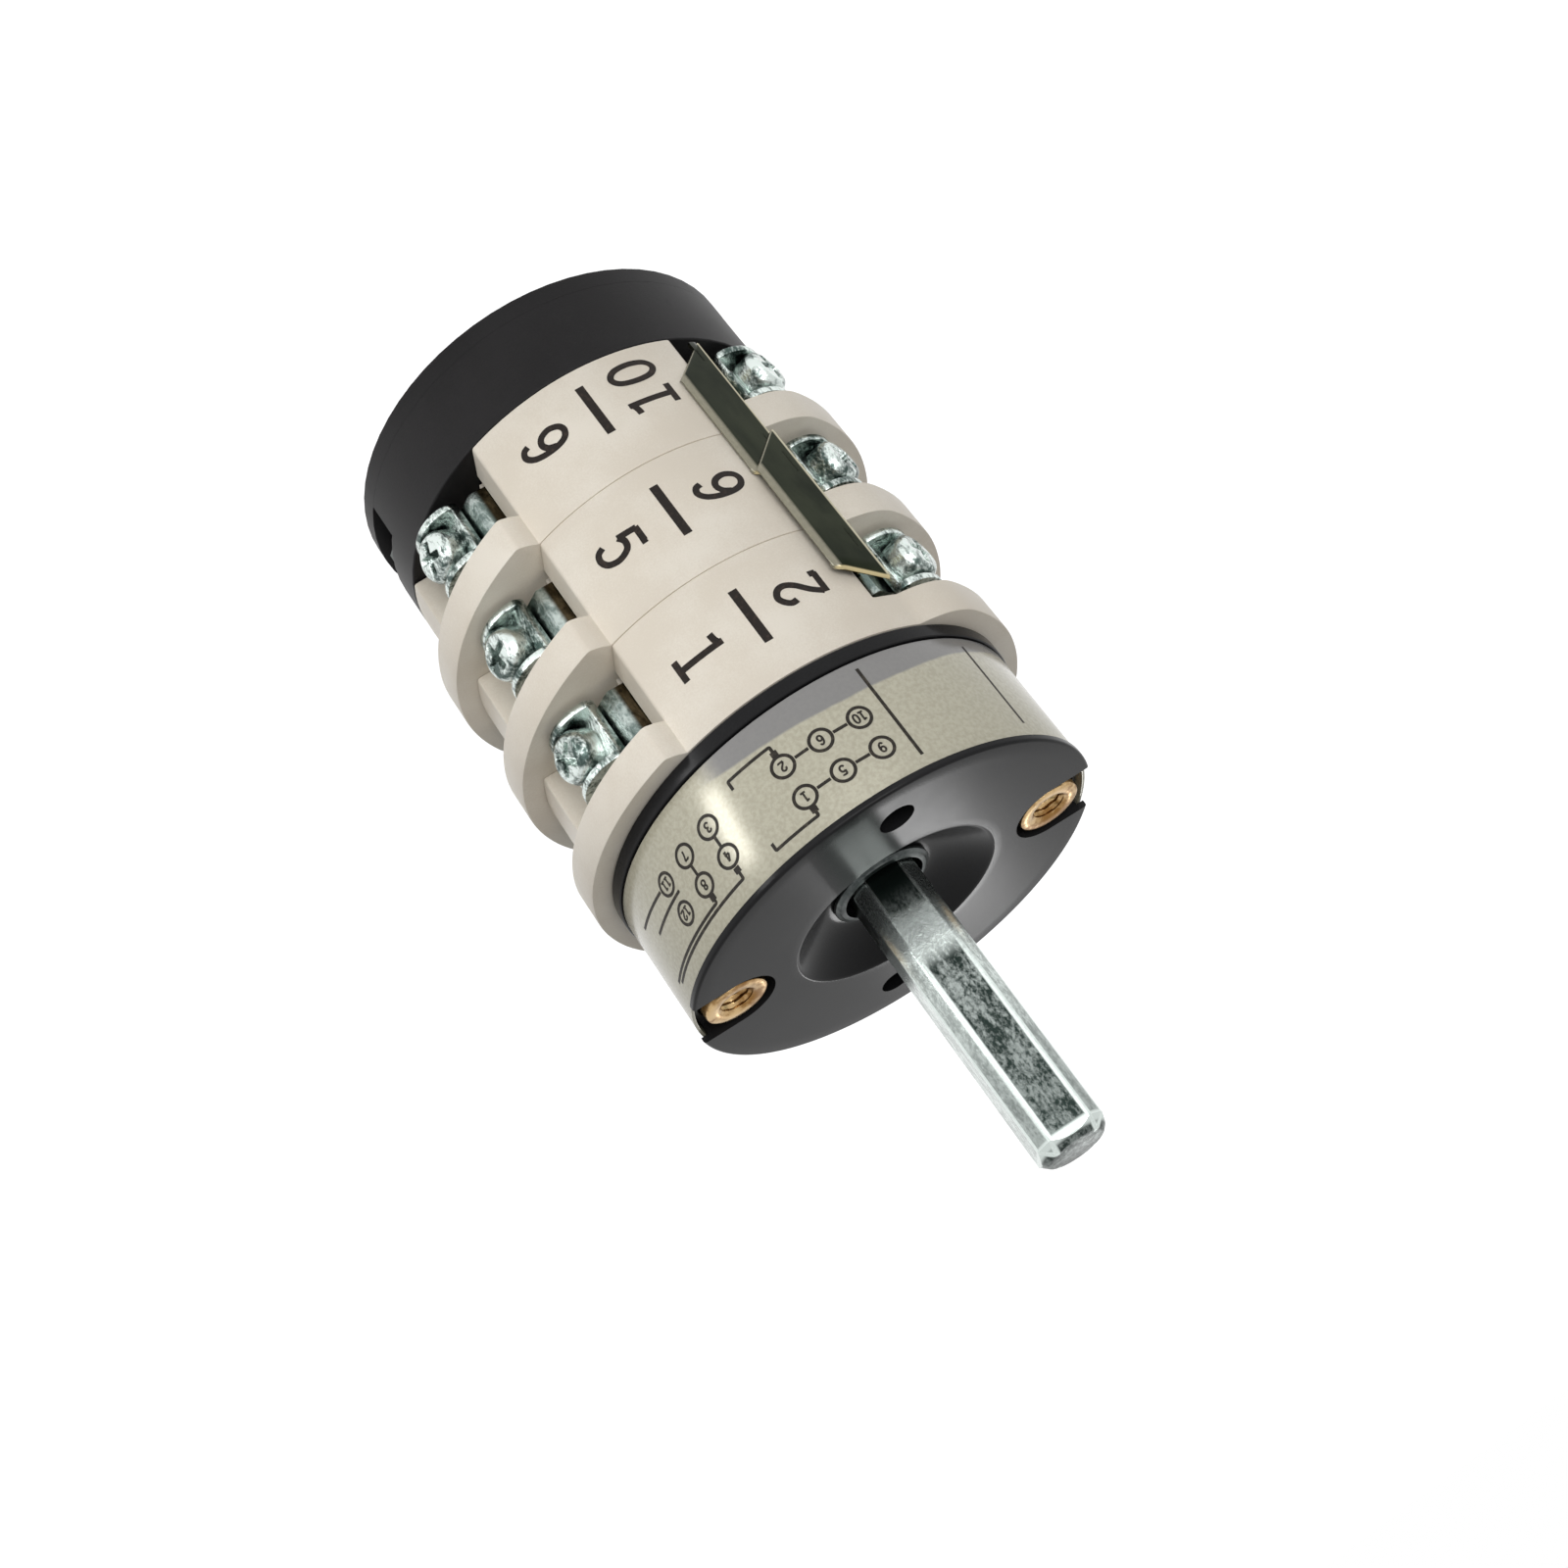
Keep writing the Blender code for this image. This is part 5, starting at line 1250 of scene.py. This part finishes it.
@dataclass
class Shaft:
    """The square bar: four flats on a round bar, eased edges and a chamfered tip."""

    body: Body
    half: float = 3.5 * MM
    bar: float = 4.1 * MM
    turn: float = 1.0
    bottom: float = 2.2 * MM
    projection: float = 29.4 * MM
    chamfer: float = 1.1 * MM
    journal: float = 3.0 * MM

    def solid(self) -> Shape:
        """Rows of the bar's section; near the tip each radius is capped by the chamfer's cone."""
        corner = math.degrees(math.acos(self.half / self.bar))
        sides = [arc(self.bar, self.turn + 90 * s + corner, self.turn + 90 * (s + 1) - corner, 9)
                 for s in range(4)]
        angles = round_about(240)
        section = star_radius(eased(np.concatenate(sides), 0.22 * MM, steps=3), angles)
        tip = self.body.front + self.projection
        rise = np.linspace(0.0, 1.0, 28)
        cone = self.bar - self.chamfer * rise - 0.14 * MM * np.clip(rise * 10 - 9, 0, 1) ** 2
        limit = np.concatenate((np.full(41, 1.0), cone))[:, None]
        radius = np.concatenate((np.full((2, 240), self.journal), np.minimum(section[None], limit)))
        height = np.concatenate(([0.3 * MM, self.bottom, self.bottom],
                                 np.linspace(self.bottom + 0.2 * MM, tip - 1.2 * self.chamfer, 40),
                                 tip - self.chamfer * (1 - rise)))[:, None]
        return Shape().grid(polar(radius, angles, height), caps=True)

    def build(self) -> None:
        """Makes the shaft."""
        edge = math.sqrt(self.bar ** 2 - self.half ** 2)
        turn = math.radians(self.turn)
        plating = ShaftPlating("shaft_zinc", self.body.front, self.projection, turn, edge).material()
        seat(self.solid().made("drive_shaft", METAL), plating, "rotor", "square_shaft")


@dataclass
class Inserts:
    """Threaded brass inserts."""

    body: Body
    radius: float = 3.4 * MM
    bore: float = 1.65 * MM
    length: float = 7.0 * MM
    sink: float = 0.2 * MM
    pitch: float = 0.7 * MM
    depth: float = 0.3 * MM

    def solid(self) -> Shape:
        """A sleeve with eased ends, whose bore swings by the thread's depth along a screw line."""
        top = self.body.front - self.sink
        low = top - self.length
        angle = round_about(64)[None, :]
        outer = np.array([(self.radius - 0.1 * MM, low), (self.radius, low + 0.1 * MM),
                          (self.radius, top - 0.3 * MM), (self.radius - 0.08 * MM, top - 0.09 * MM),
                          (self.radius - 0.3 * MM, top), (self.bore + 0.55 * MM, top),
                          (self.bore + 0.35 * MM, top - 0.1 * MM)])
        depth = np.linspace(0.25 * MM, self.length - 0.1 * MM, 70)[:, None]
        phase = (depth / self.pitch + angle / FULL) % 1.0
        thread = self.bore + self.depth * np.abs(2 * phase - 1)
        radius = np.concatenate((np.repeat(outer[:, :1], 64, 1), thread))
        return Shape().grid(polar(radius, angle, np.concatenate((outer[:, 1:], top - depth))), wrap_rows=True)

    def build(self) -> None:
        """Makes both inserts."""
        for number, side in ((1, 1.0), (2, -1.0)):
            shape = self.solid().placed(Matrix.Translation((side * self.body.insert_circle, 0.0, 0.0)))
            piece = shape.made(f"threaded_insert_{number}", METAL)
            seat(piece, Look.BRASS, "housing", f"brass_insert_{number}")


@dataclass
class Drum:
    """The black cup and its cover, as the CAD has them, with eased edges and their seam drawn close."""

    ease: float = 0.16 * MM
    seam: float = 2.2 * MM
    gap: float = 0.3 * MM
    beside: float = 0.5 * MM

    def drawn_close(self, mesh: bpy.types.Mesh) -> None:
        """Lowers what lies in the seam's gap on to the seam, and marks sharp edges away from it to be eased."""
        points = np.zeros(3 * len(mesh.vertices), np.float32)
        mesh.vertices.foreach_get("co", points)
        height = points.reshape(-1, 3)[:, 2]
        height[(height > self.seam) & (height < self.seam + 1.1 * self.gap)] = self.seam + 0.02 * MM
        mesh.vertices.foreach_set("co", points)
        shaded(mesh, MOULDED)
        sharp = np.zeros(len(mesh.edges), bool)
        mesh.attributes["sharp_edge"].data.foreach_get("value", sharp)
        ends = np.zeros(2 * len(mesh.edges), np.int32)
        mesh.edges.foreach_get("vertices", ends)
        apart = np.abs(height[ends.reshape(-1, 2)] - self.seam).min(1)
        marked = (sharp & (apart > self.beside)).astype(np.float32)
        mesh.attributes.new("bevel_weight_edge", "FLOAT", "EDGE").data.foreach_set("value", marked)

    def build(self) -> None:
        """Copies both nodes, merges their doubles and rounds their edges."""
        for node, name in (("rear_drum", "drum_moulding"), ("rear_cover", "drum_cover")):
            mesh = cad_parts[node].data.copy()
            work = bmesh.new()
            work.from_mesh(mesh)
            bmesh.ops.remove_doubles(work, verts=work.verts, dist=1e-6)
            bmesh.ops.dissolve_limit(work, angle_limit=math.radians(0.5), verts=work.verts, edges=work.edges)
            work.to_mesh(mesh)
            work.free()
            mesh.name = name
            self.drawn_close(mesh)
            piece = linked(name, mesh)
            bevel = piece.modifiers.new("Ease", "BEVEL")
            bevel.width = self.ease
            bevel.segments = 3
            bevel.limit_method = "WEIGHT"
            seat(piece, Look.DRUM, "housing", node)


class InnerWorks:
    """CAD nodes that stay as they are and take a finer finish."""

    LOOKS: ClassVar[dict[str, Look]] = {
        "cam": Look.NATURAL, "stop_disc": Look.NATURAL, "return_hub": Look.NATURAL, "plunger": Look.GREY,
        "contact_bridge": Look.SILVER, "terminal": Look.TERMINAL, "tie_bolt": Look.STEEL,
        "return_spring": Look.SPRING}

    def build(self) -> None:
        """Dresses every CAD node that is still shown."""
        for name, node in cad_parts.items():
            if not node.hide_render:
                look = next(look for kind, look in self.LOOKS.items() if name.startswith(kind))
                dress(node, look.material())
                LOG.info("%s: CAD node in %s", name, look.value.name)


@dataclass
class Studio:
    """Camera, floor and light."""

    lens: float = 50.76
    sensor: float = 36.0
    place: Triple = (0.04050, -0.19403, 0.14723)
    right: Triple = (-0.8424, 0.0952, 0.5303)
    up: Triple = (-0.5095, -0.4608, -0.7266)
    back: Triple = (0.1752, -0.8824, 0.4368)
    floor_radius: float = 3.0
    floor_glow: float = 0.91
    fill: float = 0.23

    def camera(self) -> None:
        """The camera stands where the photograph was taken from, rolled as it was."""
        data = bpy.data.cameras.new("camera")
        data.lens = self.lens
        data.sensor_width = self.sensor
        data.clip_start = 0.005
        eye = linked("camera", data)
        pose = Matrix((self.right, self.up, self.back)).transposed().to_4x4()
        pose.translation = Vector(self.place)
        eye.matrix_world = pose
        bpy.context.scene.camera = eye

    def floor(self) -> None:
        """A pale sheet under the switch that keeps its shadow and renders white elsewhere."""
        radius = np.linspace(0.0, 1.0, 12)[:, None] ** 2 * self.floor_radius + 1e-4
        points = polar(radius, round_about(48)[None, :], -0.02 * MM)
        piece = Shape().grid(points[::-1]).made("floor", turn_outward=False)
        graph = Graph("pale_floor")
        shade = graph.mix(graph.noise(30.0, 2.0), (247, 247, 247), (250, 250, 250))
        glow = graph.mix(graph.seen() * self.floor_glow, (0, 0, 0), (255, 255, 255))
        dress(piece, graph.dress(Base_Color=shade, Roughness=0.9, Specular_IOR_Level=0.0,
                                 Emission_Color=glow, Emission_Strength=1.0))

    def world(self) -> None:
        """White behind everything, and a plain level of light on the object."""
        graph = Graph("studio", world=True)
        strength = graph.seen() * (1.0 - self.fill) + self.fill
        bpy.context.scene.world = graph.dress(Color=WHITE, Strength=strength)

    def lamp(self, name: str, place: Triple, aim: Triple, size: tuple[float, float], glow: float) -> None:
        """A soft lamp, a rectangle that stands upright.

        Args:
            name: Name of the lamp.
            place: Where it stands.
            aim: The point that it faces.
            size: Width and height in metres.
            glow: Radiance of its face; its power is pi times this times its area.
        """
        data = bpy.data.lights.new(name, "AREA")
        data.shape = "RECTANGLE"
        data.size, data.size_y = size
        data.energy = glow * math.pi * size[0] * size[1]
        made = linked(name, data)
        made.location = place
        made.rotation_mode = "QUATERNION"
        made.rotation_quaternion = (Vector(aim) - Vector(place)).to_track_quat("-Z", "Y")

    def build(self) -> None:
        """Sets everything up."""
        self.camera()
        self.floor()
        self.world()
        self.lamp("key", (-0.03, -0.50, 0.19), (0.0, 0.0, 0.06), (0.34, 0.28), 4.35)
        self.lamp("far", (-0.102, 0.42, 0.257), (-0.0015, -0.0135, 0.0686), (0.036, 0.034), 13.0)
        self.lamp("streak", (0.0785, -0.0644, 0.022), (0.0115, -0.0195, 0.061), (0.016, 0.044), 9.0)
        bpy.context.scene.view_settings.view_transform = "Standard"


def main() -> None:
    """Builds the switch's sub-assemblies in order."""
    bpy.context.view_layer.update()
    body = Body()
    parts = (Studio(), Drum(), Stages(body), Print(body), Screws(body), Links(body), Head(body), Label(body),
             Shaft(body), Inserts(body), InnerWorks())
    for part in parts:
        part.build()
        LOG.info("%s done", type(part).__name__)
    bpy.context.view_layer.update()


if __name__ == "__main__":
    logging.basicConfig(level=logging.INFO, format="%(message)s")
    main()
